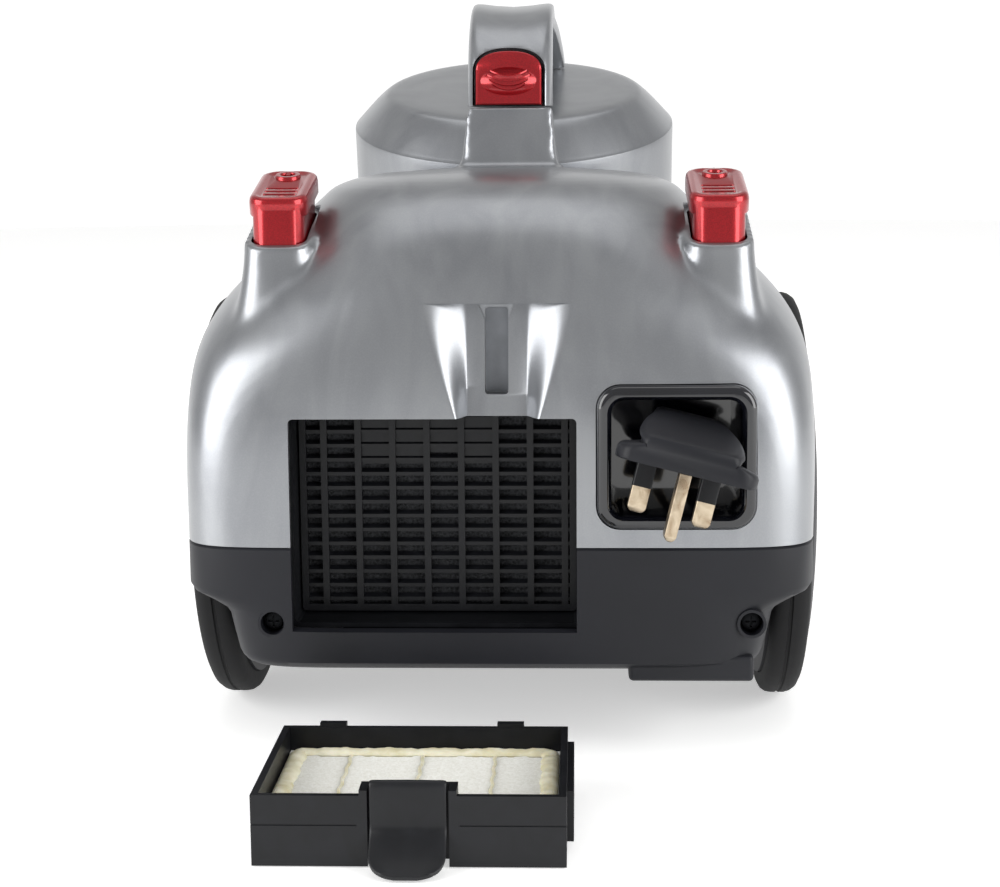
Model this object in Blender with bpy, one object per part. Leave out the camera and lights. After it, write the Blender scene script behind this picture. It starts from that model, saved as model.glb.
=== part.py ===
"""Bagless cylinder vacuum cleaner with its exhaust filter cassette taken out and laid behind it."""

import math

import bmesh
import bpy
from mathutils import Matrix, Vector

# All driving sizes are in millimetres, +Y is the direction the cleaner travels, +Z is up.
SCALE = 0.001
ORIGIN_Y = 21.4  # the axle stands this far behind the middle of the whole object
WALL = 2.6
GAP = 0.3

SPLIT_Z = 76.3
TOP_Z = 203.0
REAR_Y = 101.0
NOSE_Y = 245.0
ARM_Y = 190.0
BASE_Z = 26.0

WHEEL_RADIUS = 77.4
AXLE_RADIUS = 4.0
BORE_RADIUS = 4.08
WELL_RADIUS = 80.5
WELL_X = 88.5

OPENING = (-70.8, 27.2, 47.9, 120.7)  # filter opening: x from, x to, z from, z to
CASSETTE = (-70.25, 24.25, -198.5, -127.4, 22.0)  # x from, x to, y from, y to, height
CLIP_X = -23.0
PLUG_ROOT = Vector((61.9, -105.8, 104.6))  # middle of the two live pins where they leave the plug
PLUG_ROLL = 14.3
PLUG_LEAN = 6.0
BEZEL = (34.0, 88.0, 83.0, 132.0)

BIN_RIM = Vector((0.0, 108.0, 220.0))
BIN_LEAN = 15.0
BIN_RADIUS = 66.0
BIN_DEPTH = 171.0
CRADLE_RADIUS = 70.8
PORT_W = -48.0

PEDAL_X = 76.8
PEDAL_Y = -54.0
MOTOR = Vector((-27.0, 0.0, 112.0))
REEL = Vector((0.0, 6.0, 100.0))

for leftover in list(bpy.data.objects):
    bpy.data.objects.remove(leftover, do_unlink=True)

PARTS = bpy.data.collections.new("cylinder_vacuum")
CUTTERS = bpy.data.collections.new("cutters")
for group in (PARTS, CUTTERS):
    bpy.context.scene.collection.children.link(group)
CUTTERS.hide_render = True


def material(name, colour, roughness, metallic=0.0, transmission=0.0):
    made = bpy.data.materials.new(name)
    made.use_nodes = True
    shader = made.node_tree.nodes["Principled BSDF"]
    shader.inputs["Base Color"].default_value = (*colour, 1.0)
    shader.inputs["Roughness"].default_value = roughness
    shader.inputs["Metallic"].default_value = metallic
    shader.inputs["Transmission Weight"].default_value = transmission
    return made


def place(name, mesh, surface, transform=None):
    """Puts a mesh in millimetres into the scene in metres, as a part or, with no surface, as a cutter."""
    if transform is not None:
        mesh.transform(transform)
        if transform.determinant() < 0:
            mesh.flip_normals()
    mesh.transform(Matrix.Scale(SCALE, 4) @ Matrix.Translation((0, -ORIGIN_Y, 0)))
    made = bpy.data.objects.new(name, mesh)
    if surface:
        mesh.materials.append(surface)
        PARTS.objects.link(made)
    else:
        CUTTERS.objects.link(made)
        made.display_type = "WIRE"
        made.hide_render = True
    return made


def shape(name, points, faces, surface=None, transform=None):
    mesh = bpy.data.meshes.new(name)
    mesh.from_pydata([tuple(p) for p in points], [], faces)
    work = bmesh.new()
    work.from_mesh(mesh)
    bmesh.ops.recalc_face_normals(work, faces=work.faces)
    work.to_mesh(mesh)
    work.free()
    return place(name, mesh, surface, transform)


def loft(name, rings, surface=None, transform=None):
    """A closed body through rings of the same number of points, capped at both ends."""
    count = len(rings[0])
    points = [p for ring in rings for p in ring]
    faces = [tuple(range(count)), tuple(range(len(points) - count, len(points)))]
    for level in range(len(rings) - 1):
        for i in range(count):
            a, b = level * count + i, level * count + (i + 1) % count
            faces.append((a, b, b + count, a + count))
    return shape(name, points, faces, surface, transform)


def box(name, x, y, z, surface=None, transform=None):
    rings = [[(x[0], y[0], h), (x[1], y[0], h), (x[1], y[1], h), (x[0], y[1], h)] for h in z]
    return loft(name, rings, surface, transform)


def prism(name, outline, along, span, surface=None, transform=None):
    """An outline drawn across one axis and pushed along it."""
    rings = []
    for depth in span:
        if along == "x":
            rings.append([(depth, u, v) for u, v in outline])
        elif along == "y":
            rings.append([(u, depth, v) for u, v in outline])
        else:
            rings.append([(u, v, depth) for u, v in outline])
    return loft(name, rings, surface, transform)


def rounded(x, z, radius, steps=4):
    """A rectangle with round corners, as a list of points."""
    points = []
    corners = ((x[1], z[1], 0), (x[0], z[1], 90), (x[0], z[0], 180), (x[1], z[0], 270))
    for cx, cz, start in corners:
        mx = cx + (radius if cx == x[0] else -radius)
        mz = cz + (radius if cz == z[0] else -radius)
        for step in range(steps + 1):
            angle = math.radians(start + 90 * step / steps)
            points.append((mx + radius * math.cos(angle), mz + radius * math.sin(angle)))
    return points


def lathe(name, profile, surface=None, transform=None, steps=36):
    """Turns a closed loop of (radius, height) about Z."""
    points, faces, rows = [], [], []
    for radius, height in profile:
        if radius == 0:
            rows.append([len(points)] * steps)
            points.append((0, 0, height))
            continue
        rows.append(list(range(len(points), len(points) + steps)))
        for i in range(steps):
            angle = 2 * math.pi * i / steps
            points.append((radius * math.cos(angle), radius * math.sin(angle), height))
    for row in range(len(rows)):
        here, there = rows[row], rows[(row + 1) % len(rows)]
        if profile[row][0] == 0 and profile[(row + 1) % len(rows)][0] == 0:
            continue
        for i in range(steps):
            j = (i + 1) % steps
            corners = []
            for corner in (here[i], here[j], there[j], there[i]):
                if corner not in corners:
                    corners.append(corner)
            faces.append(tuple(corners))
    return shape(name, points, faces, surface, transform)


def rod(name, radius, span, surface=None, transform=None, steps=20):
    profile = [(0, span[0]), (radius, span[0]), (radius, span[1]), (0, span[1])]
    return lathe(name, profile, surface, transform, steps)


def ring(name, inner, outer, span, surface=None, transform=None, steps=36):
    profile = [(inner, span[0]), (outer, span[0]), (outer, span[1]), (inner, span[1])]
    return lathe(name, profile, surface, transform, steps)


def along_x(x=0.0, y=0.0, z=0.0, mirrored=False):
    turn = Matrix.Rotation(math.radians(-90 if mirrored else 90), 4, "Y")
    return Matrix.Translation((x, y, z)) @ turn


def along_y(x=0.0, y=0.0, z=0.0):
    return Matrix.Translation((x, y, z)) @ Matrix.Rotation(math.radians(-90), 4, "X")


def upright(x=0.0, y=0.0, z=0.0):
    return Matrix.Translation((x, y, z))


IN_BIN = Matrix.Translation(BIN_RIM) @ Matrix.Rotation(math.radians(BIN_LEAN), 4, "X")


def combine(target, operation, *others):
    for other in others:
        modifier = target.modifiers.new(other.name, "BOOLEAN")
        modifier.operation = operation
        modifier.solver = "EXACT"
        modifier.object = other
    return target


def cut(target, *others):
    return combine(target, "DIFFERENCE", *others)


def weld(target, *others):
    return combine(target, "UNION", *others)


SILVER = material("silver_painted_abs", (0.42, 0.44, 0.47), 0.32, 0.6)
BLACK = material("black_moulded_abs", (0.012, 0.013, 0.018), 0.5)
GLOSS = material("black_gloss_abs", (0.008, 0.009, 0.014), 0.15)
RED = material("red_metallic_abs", (0.42, 0.008, 0.02), 0.3, 0.5)
RUBBER = material("black_rubber", (0.012, 0.012, 0.012), 0.75)
CLEAR = material("smoked_clear_polycarbonate", (0.6, 0.62, 0.65), 0.08, 0.0, 0.9)
GREY = material("grey_moulded_abs", (0.16, 0.17, 0.18), 0.45)
BRASS = material("plated_brass", (0.6, 0.47, 0.28), 0.3, 1.0)
STEEL = material("bright_steel", (0.55, 0.55, 0.56), 0.3, 1.0)
PAPER = material("cream_pleated_paper", (0.75, 0.72, 0.6), 0.9)
FOAM = material("grey_filter_foam", (0.2, 0.2, 0.21), 0.95)
NYLON = material("black_pvc_cord", (0.015, 0.015, 0.015), 0.55)


def dome(z, power, base=72.0):
    """How much of its full width the body keeps at this height."""
    rise = max(0.0, (z - base) / (TOP_Z - base))
    return max(0.0, 1 - rise**power) ** (1 / power)


UPPER_HALF = ((76.3, 110.8), (104, 111.2), (122, 111.0), (134, 110.4), (145, 108.6), (152, 105.6), (160, 100), (168, 92.3), (178, 83), (186, 75.4), (192.5, 68.6), (197.5, 62), (201, 48), (202.7, 26))
REAR_CORNER = ((76.3, 10.0), (110, 9.0), (132, 6.8), (150, 4.4), (160, 3.7), (175, 3.0), (202.7, 2.5))


def read_off(rows, z):
    """A value between the rows of a short table."""
    for (low, first), (high, second) in zip(rows, rows[1:]):
        if z <= high:
            return first + (second - first) * max(0.0, (z - low) / (high - low))
    return rows[-1][1]


def plan(half_rear, half_front, rear, front, z, steps=9):
    """One level of the body: a square rear whose corners open out with height, and a round nose."""
    points = []
    for i in range(4 * steps):
        angle = 2 * math.pi * i / (4 * steps)
        c, s = math.cos(angle), math.sin(angle)
        if s < -1e-9:
            power, half, reach = read_off(REAR_CORNER, z), half_rear, rear
        else:
            power, half, reach = 2.6, half_front, front
        x = math.copysign(abs(c) ** (2 / power), c) * half
        y = math.copysign(abs(s) ** (2 / power), s) * reach
        points.append((x, y, z))
    return points


def upper_levels(inset, low):
    levels = []
    for z in (low, 90.0, 104.0, 118.0, 132.0, 145.0, 157.0, 168.0, 178.0, 186.0, 192.5, 197.5, 201.0, 202.7):
        rear, front = dome(z, 3.5), dome(z, 1.7)
        half = max(4.0, read_off(UPPER_HALF, z) - inset)
        back = max(4.0, REAR_Y * rear - inset)
        nose = max(4.0, ARM_Y * front - inset)
        levels.append(plan(half, half, back, nose, z - inset * (z > 150)))
    return levels


def lower_levels(inset, bottom, top):
    #          z     rear half, front half, rear reach, nose reach
    rows = [
        (26.0, 80.0, 80.0, 62.0, 226.0),
        (28.0, 84.0, 88.0, 73.0, 236.0),
        (33.0, 91.0, 97.0, 97.0, 243.0),
        (37.0, 93.5, 99.5, 101.0, 243.6),
        (52.0, 97.0, 105.0, 101.0, NOSE_Y),
        (60.0, 110.8, 110.8, 101.0, NOSE_Y),
        (SPLIT_Z - 0.15, 110.8, 110.8, 101.0, NOSE_Y),
    ]
    levels = []
    for z, rear_half, front_half, rear, nose in rows:
        z = z + inset if z < 35 else z
        levels.append(plan(rear_half - inset, front_half - inset, rear - inset, nose - inset, z))
    if top > SPLIT_Z:
        levels.append([(x, y, top) for x, y, _ in levels[-1]])
    return levels


def well_cutters(name, radius, inner):
    made = []
    for side in (-1, 1):
        turned = along_x(0, 0, WHEEL_RADIUS, side < 0)
        made.append(rod(f"{name}_{'left' if side < 0 else 'right'}", radius, (inner, 140), None, turned, 32))
    return made


def housing_cutters():
    """Hollows and holes that the two halves of the body share."""
    wells = well_cutters("well", WELL_RADIUS, WELL_X)
    kept = well_cutters("well_wall", WELL_RADIUS + WALL, WELL_X - WALL)
    x0, x1, z0, z1 = OPENING
    door = prism("opening_cut", rounded((x0, x1), (z0, z1), 1.5, 2), "y", (-112, -84))
    stubs = [rod(f"stub_hole_{n}", 4.3, (80, 92), None, along_x(0, 0, WHEEL_RADIUS, n == "left")) for n in ("left", "right")]
    return wells, kept, door, stubs


def pad_lean(x):
    """Where a foot pedal's pad sits."""
    return Matrix.Translation((x, PEDAL_Y, 197.6)) @ Matrix.Rotation(math.radians(13), 4, "X")


def park_recess(steps=4):
    """The funnel that the floor tool's hook slides down: its sides open out towards the top."""
    rings = []
    for z in (119.0, 127.0, 135.0, 143.0, 151.0, 159.2):
        share = (z - 119.0) / 40.2
        left, right = -13.5 - 13.5 * share, 14.5 + 13.5 * share
        skin, plate = -REAR_Y * dome(z, 3.5), -92.7 + 5.0 * share
        side = [math.sin(math.pi / 2 * k / steps) ** 1.3 for k in range(steps + 1)]
        line = [(10.2 + (right - 10.2) * k / steps, plate + (skin - plate) * side[k], z) for k in range(steps + 1)]
        line += [(right, -112, z), (left, -112, z)]
        line += [(-10 + (left + 10) * k / steps, plate + (skin - plate) * side[k], z) for k in range(steps, -1, -1)]
        rings.append(line)
    return loft("park_recess", rings)


def build_upper(wells, kept, door, stubs):
    cavity = loft("upper_cavity", upper_levels(WALL, SPLIT_Z - 6))
    bin_wall = rod("cradle_wall", CRADLE_RADIUS + WALL, (-240, 60), None, IN_BIN, 36)
    recess_keep = box("recess_keep", (-29.4, 32.6), (-108, -90.4), (119.4, 164.6))
    plate_keep = box("plate_keep", (-16.3, 17.1), (-106, -80.4), (123.1, 167.3))
    cut(cavity, *kept, bin_wall, recess_keep, plate_keep)
    shell = loft("upper_housing", upper_levels(0, SPLIT_Z + 0.15), SILVER)
    hump_rings = [
        [(-24, 4, 188), (26, 4, 188), (26, 62, 188), (-24, 62, 188)],
        [(-20.5, 6, 203), (22, 6, 203), (22, 60, 203), (-20.5, 60, 203)],
        [(-16.5, 11, 218), (19, 11, 218), (19, 58, 218), (-16.5, 58, 218)],
        [(-14.5, 14, 225.6), (17.5, 14, 225.6), (17.5, 56, 225.6), (-14.5, 56, 225.6)],
    ]
    hump = loft("hump", hump_rings)
    towers, stems, presses = [], [], []
    for side in (-1, 1):
        x = side * PEDAL_X
        name = "left" if side < 0 else "right"
        tower = [
            rounded((x - 21, x + 21), (PEDAL_Y - 44, PEDAL_Y + 36), 8),
            rounded((x - 16, x + 16), (PEDAL_Y - 32, PEDAL_Y + 28), 8),
            rounded((x - 12, x + 12), (PEDAL_Y - 23, PEDAL_Y + 22), 8),
            rounded((x - 12, x + 12), (PEDAL_Y - 23, PEDAL_Y + 22), 8),
        ]
        heights = ((130, 130), (152, 155), (170, 179), (176, 191))
        rings = [[(u, v, lo + (hi - lo) * (v - PEDAL_Y + 28) / 52) for u, v in line] for line, (lo, hi) in zip(tower, heights)]
        towers.append(loft(f"tower_{name}", rings))
        stems.append(prism(f"stem_hole_{name}", rounded((x - 9.8, x + 9.8), (PEDAL_Y - 20.5, PEDAL_Y + 19.5), 6), "z", (120, 230)))
        presses.append(prism(f"press_room_{name}", rounded((-11, 11), (-22.8, 21), 7), "z", (-10, 12), None, pad_lean(x)))
    weld(shell, hump, *towers)
    cut(shell, cavity)
    cradle = rod("cradle", CRADLE_RADIUS, (-240, 60), None, IN_BIN, 36)
    x0, x1, z0, z1 = BEZEL
    bezel = prism("bezel_hole", rounded((x0 - GAP, x1 + GAP), (z0 - GAP, z1 + GAP), 8.3), "y", (-112, -86))
    park = park_recess()
    slot = loft("park_slot", [[(-4, -100, 128), (4, -100, 128), (4, -84.6, 128), (-4, -84.6, 128)], [(-4, -100, 154), (4, -100, 154), (4, -84.6, 154), (-4, -84.6, 154)]])
    return cut(shell, cradle, *wells, door, bezel, park, slot, *stems, *presses, *stubs)


def build_lower(wells, kept, door, stubs):
    shell = loft("lower_housing", lower_levels(0, BASE_Z, SPLIT_Z), BLACK)
    cavity = loft("lower_cavity", lower_levels(WALL, BASE_Z, 84))
    cut(cavity, *kept)
    cut(shell, cavity)
    bulge = box("cord_bulge", (45, 88), (-97.5, -40), (28.8, 38))
    hollow = box("bulge_hollow", (47.6, 85.4), (-94.9, -42), (31.4, 42))
    bosses, holes = [], []
    for name, x in (("left", -78.0), ("right", 87.0)):
        seat = along_y(x, 0, 49.5)
        bosses.append(rod(f"boss_{name}", 5.0, (-99.5, -80), None, seat, 16))
        holes.append(rod(f"head_hole_{name}", 4.0, (-110, -92), None, seat, 16))
        holes.append(rod(f"shank_hole_{name}", 2.1, (-93, -79), None, seat, 12))
    swivel = rod("swivel_hole", 4.4, (20, 40), None, upright(0, 205, 0))
    weld(shell, bulge)
    cut(shell, hollow)
    weld(shell, *bosses)
    x0, x1, z0, _ = OPENING
    lead_in = prism("door_lead_in", [(-104, z0 - 2.2), (-97.2, z0 + 0.05), (-97.2, z0 + 2.4), (-104, z0 + 2.4)], "x", (x0, x1))
    return cut(shell, *wells, door, swivel, *stubs, *holes, lead_in)


def build_dock():
    """The leaning cup that the dust bin stands in."""
    floor = -BIN_DEPTH - 3.0
    profile = [(0, floor), (73.2, floor), (73.2, -100), (CRADLE_RADIUS, -100), (CRADLE_RADIUS, floor + 2.4), (0, floor + 2.4)]
    dock = lathe("bin_dock", profile, BLACK, IN_BIN, 32)
    lid = box("dock_top", (-90, 90), (0, 300), (SPLIT_Z - 0.3, 200))
    return cut(dock, lid)


def build_bay():
    x0, x1, z0, z1 = OPENING
    outer = prism("filter_bay", rounded((x0 - 2.1, x1 + 2.1), (z0 - 2.1, z1 + 2.1), 2.5, 2), "y", (-90, -71.7), BLACK)
    inner = prism("bay_hollow", rounded((x0 - 0.5, x1 + 0.5), (z0 - 0.5, z1 + 0.5), 1.5, 2), "y", (-95, -60))
    cut(outer, inner)
    grille_x = [x0 + 0.2, x0 + 2.5]
    for i in range(8):
        centre = -62.0 + 12.14 * i
        grille_x += [centre - 1.1, centre + 1.1]
    grille_x += [x1 - 2.5, x1 - 0.2]
    grille_z = [z0 + 0.2, z0 + 2.6]
    for i in range(6):
        centre = 57.8 + 9.8 * i
        grille_z += [centre - 0.9, centre + 0.9]
    grille_z += [z1 - 2.6, z1 - 0.2]
    plate = lattice("exhaust_grille", grille_x, grille_z, (-75, -72.2), BLACK)
    box("exhaust_foam", (x0 - 1.5, x1 + 1.5), (-71.4, -67.4), (z0 - 1.5, z1 + 1.5), FOAM)
    return outer, plate


def lattice(name, xs, zs, depth, surface, blank=()):
    """A flat plate whose odd cells are open, given the lines that bound its bars."""
    nx, nz = len(xs), len(zs)
    points = [(x, y, z) for y in depth for z in zs for x in xs]
    faces = []

    def solid(i, k):
        if not (0 <= i < nx - 1 and 0 <= k < nz - 1):
            return False
        return not (i % 2 == 1 and k % 2 == 1) or (i, k) in blank

    def corner(i, k, side):
        return side * nx * nz + k * nx + i

    for k in range(nz - 1):
        for i in range(nx - 1):
            if not solid(i, k):
                continue
            loop = [(i, k), (i + 1, k), (i + 1, k + 1), (i, k + 1)]
            faces.append(tuple(corner(*c, 0) for c in loop))
            faces.append(tuple(corner(*c, 1) for c in reversed(loop)))
            neighbours = ((i, k - 1), (i + 1, k), (i, k + 1), (i - 1, k))
            for n, (a, b) in zip(neighbours, zip(loop, loop[1:] + loop[:1])):
                if not solid(*n):
                    faces.append((corner(*a, 0), corner(*a, 1), corner(*b, 1), corner(*b, 0)))
    return shape(name, points, faces, surface)


def build_bezel():
    x0, x1, z0, z1 = BEZEL
    face = prism("plug_bezel", rounded((x0, x1), (z0, z1), 8), "y", (-102.8, -96), GLOSS)
    tub = prism("bezel_tub", rounded((x0 + 3, x1 - 3), (z0 + 2, z1 - 3), 6), "y", (-97, -72))
    weld(face, tub)
    hollow = prism("bezel_hollow", rounded((x0 + 5, x1 - 5), (z0 + 4.5, z1 - 5), 4.5), "y", (-110, -74))
    aperture = rod("bezel_aperture", 4.4, (-80, -60), None, along_y(61.9, 0, 111.5))
    return cut(face, hollow, aperture)


def plug_frame():
    roll, lean = math.radians(PLUG_ROLL), math.radians(PLUG_LEAN)
    across = Vector((math.cos(roll), 0, -math.sin(roll)))
    pins = Vector((-math.sin(roll) * math.cos(lean), -math.sin(lean), -math.cos(roll) * math.cos(lean)))
    out = pins.cross(across).normalized()
    if out.y > 0:
        out = -out
    frame = Matrix((across, out, -pins)).transposed().to_4x4()
    return Matrix.Translation(PLUG_ROOT) @ frame


def build_plug():
    at = plug_frame()
    rings = []
    # reach toward the earth pin, half width of the base, half width of the grip, height
    rows = ((-17.5, 13, 9, 17), (-12, 17.5, 12.5, 18.5), (2, 19.5, 15, 16.5), (8, 22.5, 17, 15), (24, 23.5, 18, 11), (29, 20, 15, 9.5))
    for reach, base, grip, tall in rows:
        line = [(-base, 0), (base, 0), (base, 4.5), (grip, 7.5), (grip - 1, tall - 1.5), (grip - 3, tall)]
        line += [(-grip + 3, tall), (-grip + 1, tall - 1.5), (-grip, 7.5), (-base, 4.5)]
        rings.append([(u, reach, v) for u, v in line])
    body = loft("plug_body", rings, BLACK, at)
    made = [body]
    for name, x, y, wide, thick, length in (
        ("plug_pin_live", 11.1, 0.0, 6.35, 4.0, 17.7),
        ("plug_pin_neutral", -11.1, 0.0, 6.35, 4.0, 17.7),
        ("plug_pin_earth", 0.0, 22.2, 4.0, 8.0, 22.7),
    ):
        a, b = wide / 2, thick / 2
        rings = []
        for z, s in ((-0.3, 0.0), (-length + 1.2, 0.0), (-length, 0.9)):
            rings.append([(x - a + s, y - b + s, z), (x + a - s, y - b + s, z), (x + a - s, y + b - s, z), (x - a + s, y + b - s, z)])
        made.append(loft(name, rings, BRASS, at))
    rod("plug_lead", 3.2, (-87.4, -20), NYLON, along_y(61.9, 0, 111.5), 14)
    lead_hole = rod("lead_hole", 3.5, (-96, -60), None, along_y(61.9, 0, 111.5), 14)
    cut(body, lead_hole)
    return made


def build_wheels():
    for side in (-1, 1):
        name = "left" if side < 0 else "right"
        turned = along_x(0, 0, WHEEL_RADIUS, side < 0)
        disc = [
            (BORE_RADIUS, 90.5), (12, 90.5), (12, 97), (62, 99), (64, 95.5), (69.5, 96), (69.5, 110.8), (62, 112.8),
            (45, 114.6), (20, 115.6), (0, 115.8), (0, 104.5), (BORE_RADIUS, 104.5),
        ]
        lathe(f"wheel_{name}", disc, BLACK, turned, 32)
        tread = [(69.8, 97), (74.5, 97), (77.4, 100), (77.4, 107), (75, 110), (69.8, 110.8)]
        lathe(f"tyre_{name}", tread, RUBBER, turned, 32)
        cap = [(0, 116.1), (17, 116.1), (14, 117.6), (0, 118)]
        lathe(f"hubcap_{name}", cap, GREY, turned, 16)
        rod(f"axle_{name}", AXLE_RADIUS, (82, 103.5), STEEL, turned, 12)


def build_caster():
    rings = [rounded((-11.5, 11.5), (190, 211), 5, 3), rounded((-11.5, 11.5), (190, 211), 5, 3)]
    fork = loft("caster_fork", [[(x, y, z) for x, y in line] for line, z in zip(rings, (22.2, 25.6))], BLACK)
    for side in (-1, 1):
        cheek = prism(f"fork_cheek_{side}", rounded((191, 206), (6, 23), 5, 3), "x", (side * 8.6, side * 11.3))
        weld(fork, cheek)
    stem = rod("fork_stem", AXLE_RADIUS, (25, 40), None, upright(0, 205, 0), 20)
    weld(fork, stem)
    hole = rod("fork_axle_hole", 2.2, (-20, 20), None, along_x(0, 197.5, 10.8), 12)
    cut(fork, hole)
    ring("caster_wheel", 2.08, 10.8, (-8.2, 8.2), RUBBER, along_x(0, 197.5, 10.8), 24)
    rod("caster_axle", 2.0, (-11.8, 11.8), STEEL, along_x(0, 197.5, 10.8), 12)


def pedal_cap(x, name):
    """A leaning foot pad on a square stem, with a raised ring on the high end of the pad."""
    lean = pad_lean(x)
    pad = prism(name, rounded((-10.4, 10.4), (-20.4, 20.4), 7), "z", (-3.2, 2.4), RED, lean)
    stem = prism(f"{name}_stem", rounded((x - 9.3, x + 9.3), (PEDAL_Y - 20, PEDAL_Y + 19), 5.6), "z", (150, 197))
    trim = box(f"{name}_trim", (-20, 20), (-40, 40), (0, 30), None, lean)
    cut(stem, trim)
    mark = ring(f"{name}_mark", 2.6, 4.4, (1.5, 3.4), None, lean @ upright(0, 11, 0), 20)
    weld(pad, stem, mark)
    grips = [box(f"{name}_grip_{i}", (-5.5, 5.5), (-13 + 4 * i, -11 + 4 * i), (1.4, 5), None, lean) for i in range(3)]
    return cut(pad, *grips)


def coil(name, x, y, low, high, radius, wire, turns, surface):
    """A round wire wound up from one level to another."""
    per_turn, around, rings = 8, 4, []
    total = turns * per_turn
    for i in range(total + 1):
        angle = 2 * math.pi * i / per_turn
        z = low + wire + (high - low - 2 * wire) * i / total
        middle = Vector((x + radius * math.cos(angle), y + radius * math.sin(angle), z))
        out = Vector((math.cos(angle), math.sin(angle), 0))
        line = []
        for k in range(around):
            turn = 2 * math.pi * k / around
            line.append(middle + out * wire * math.cos(turn) + Vector((0, 0, wire * math.sin(turn))))
        rings.append(line)
    return loft(name, rings, surface)


def build_pedals():
    pedal_cap(-PEDAL_X, "power_pedal")
    pedal_cap(PEDAL_X, "rewind_pedal")
    coil("power_spring", -PEDAL_X, PEDAL_Y, 127.3, 149.7, 4.5, 0.7, 4, STEEL)
    coil("rewind_spring", PEDAL_X, PEDAL_Y, 124.3, 149.7, 4.5, 0.7, 4, STEEL)
    box("power_switch", (-82, -70), (-65, -43), (98, 127), GREY)
    box("reel_brake", (57, 82), (-64, -44), (118, 124), GREY)


def build_bin():
    top, floor = -8.0, -BIN_DEPTH
    shell = [(0, floor), (BIN_RADIUS - 3, floor), (BIN_RADIUS, floor + 3), (BIN_RADIUS, top), (BIN_RADIUS - 2, top)]
    shell += [(BIN_RADIUS - 2, floor + 4), (BIN_RADIUS - 4, floor + 2.2), (0, floor + 2.2)]
    jar = lathe("bin_shell", shell, CLEAR, IN_BIN, 36)
    port_at = IN_BIN @ along_y(0, 0, PORT_W)
    cut(jar, rod("port_hole", 19.3, (40, 90), None, port_at, 20))
    port = [(16.5, 61), (19, 61), (19, 68.5), (24, 69.5), (24, 72), (19.5, 74), (19.5, 92), (16.5, 92)]
    lathe("hose_port", port, GREY, port_at, 20)


def build_lid():
    profile = [
        (BIN_RADIUS + GAP, -26), (68.5, -26), (68.5, 0), (67.3, 4), (63, 9.5), (57, 13.2), (52, 15), (0, 15),
        (0, 12.4), (51, 12.4), (56, 10.6), (62, 6.6), (BIN_RADIUS + GAP, 0),
    ]
    lid = lathe("bin_lid", profile, SILVER, IN_BIN, 36)
    # The lid's skirt stops above the hose port.
    cut(lid, rod("lid_port_gap", 25, (40, 90), None, IN_BIN @ along_y(0, 0, PORT_W), 32))
    ring("lid_seal", 61.5, BIN_RADIUS - 0.1, (-7.7, -4.5), RUBBER, IN_BIN, 28)
    shroud = [(31.6, -74), (34, -74), (34, -14), (60.8, -14), (60.8, -11.5), (31.6, -11.5)]
    lathe("mesh_shroud", shroud, STEEL, IN_BIN, 28)
    cone = [(26.5, -74.3), (34, -74.3), (34, -80), (30, -82), (14, -150), (11.5, -150), (26.5, -84)]
    lathe("cyclone_cone", cone, GREY, IN_BIN, 24)
    finder = [(11.6, -60), (14, -60), (14, 12.1), (11.6, 12.1)]
    lathe("vortex_finder", finder, GREY, IN_BIN, 18)


HANDLE_PATH = (
    # y, z, direction the strap runs in degrees above +Y, thickness
    (31.0, 226.3, 90.0, 34.0), (33.0, 238.0, 82.0, 31.0), (39.0, 249.0, 64.0, 23.0), (51.0, 258.5, 36.0, 14.0),
    (66.0, 264.0, 14.0, 9.5), (84.0, 266.0, 0.0, 8.5), (104.0, 264.5, -10.0, 8.5), (122.0, 259.5, -24.0, 9.0),
    (136.0, 252.0, -36.0, 10.5), (142.5, 246.6, -42.0, 12.5),
)


def build_handle():
    rings = []
    for y, z, heading, thick in HANDLE_PATH:
        angle = math.radians(heading)
        up = Vector((0, -math.sin(angle), math.cos(angle)))
        middle = Vector((1.3, y, z))
        half = 16.6
        if y > 110:
            half += (y - 110) * 0.12
        line = []
        for u, v in ((-1, -0.32), (-0.86, -0.5), (0.86, -0.5), (1, -0.32), (1, 0.4), (0.88, 0.5), (0, 0.38), (-0.88, 0.5), (-1, 0.4)):
            line.append(middle + Vector((u * half, 0, 0)) + up * (v * thick))
        rings.append(line)
    handle = loft("carry_handle", rings, SILVER)
    seat = box("handle_seat", (-60, 60), (20, 190), (-60, 15.3), None, IN_BIN)
    flat = box("handle_flat", (-60, 60), (-40, 200), (180, 226.2))
    outline = [(-13.2, 222), (15.2, 222), (15.2, 240)] + [
        (1 + 14.2 * math.cos(math.radians(a)), 240 + 8.6 * math.sin(math.radians(a))) for a in range(15, 180, 15)
    ] + [(-13.2, 240)]
    pocket = prism("button_pocket", outline, "y", (0, 33))
    cut(handle, seat, flat, pocket)
    outline = [(-11.8, 226.6), (13.8, 226.6), (13.8, 240)] + [
        (1 + 12.8 * math.cos(math.radians(a)), 240 + 7.4 * math.sin(math.radians(a))) for a in range(15, 180, 15)
    ] + [(-11.8, 240)]
    rings = [[(x, y + (z - 226) * 0.24, z) for x, z in outline] for y in (14.0, 16.0)]
    rings.append([(x, 29.2, z) for x, z in outline])
    button = loft("release_button", rings, RED)
    scoop = rod("button_scoop", 8.0, (-9, 10), None, Matrix.Translation((1, 11.5, 238)) @ Matrix.Rotation(math.radians(90), 4, "Y"), 24)
    cut(button, scoop)


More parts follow.
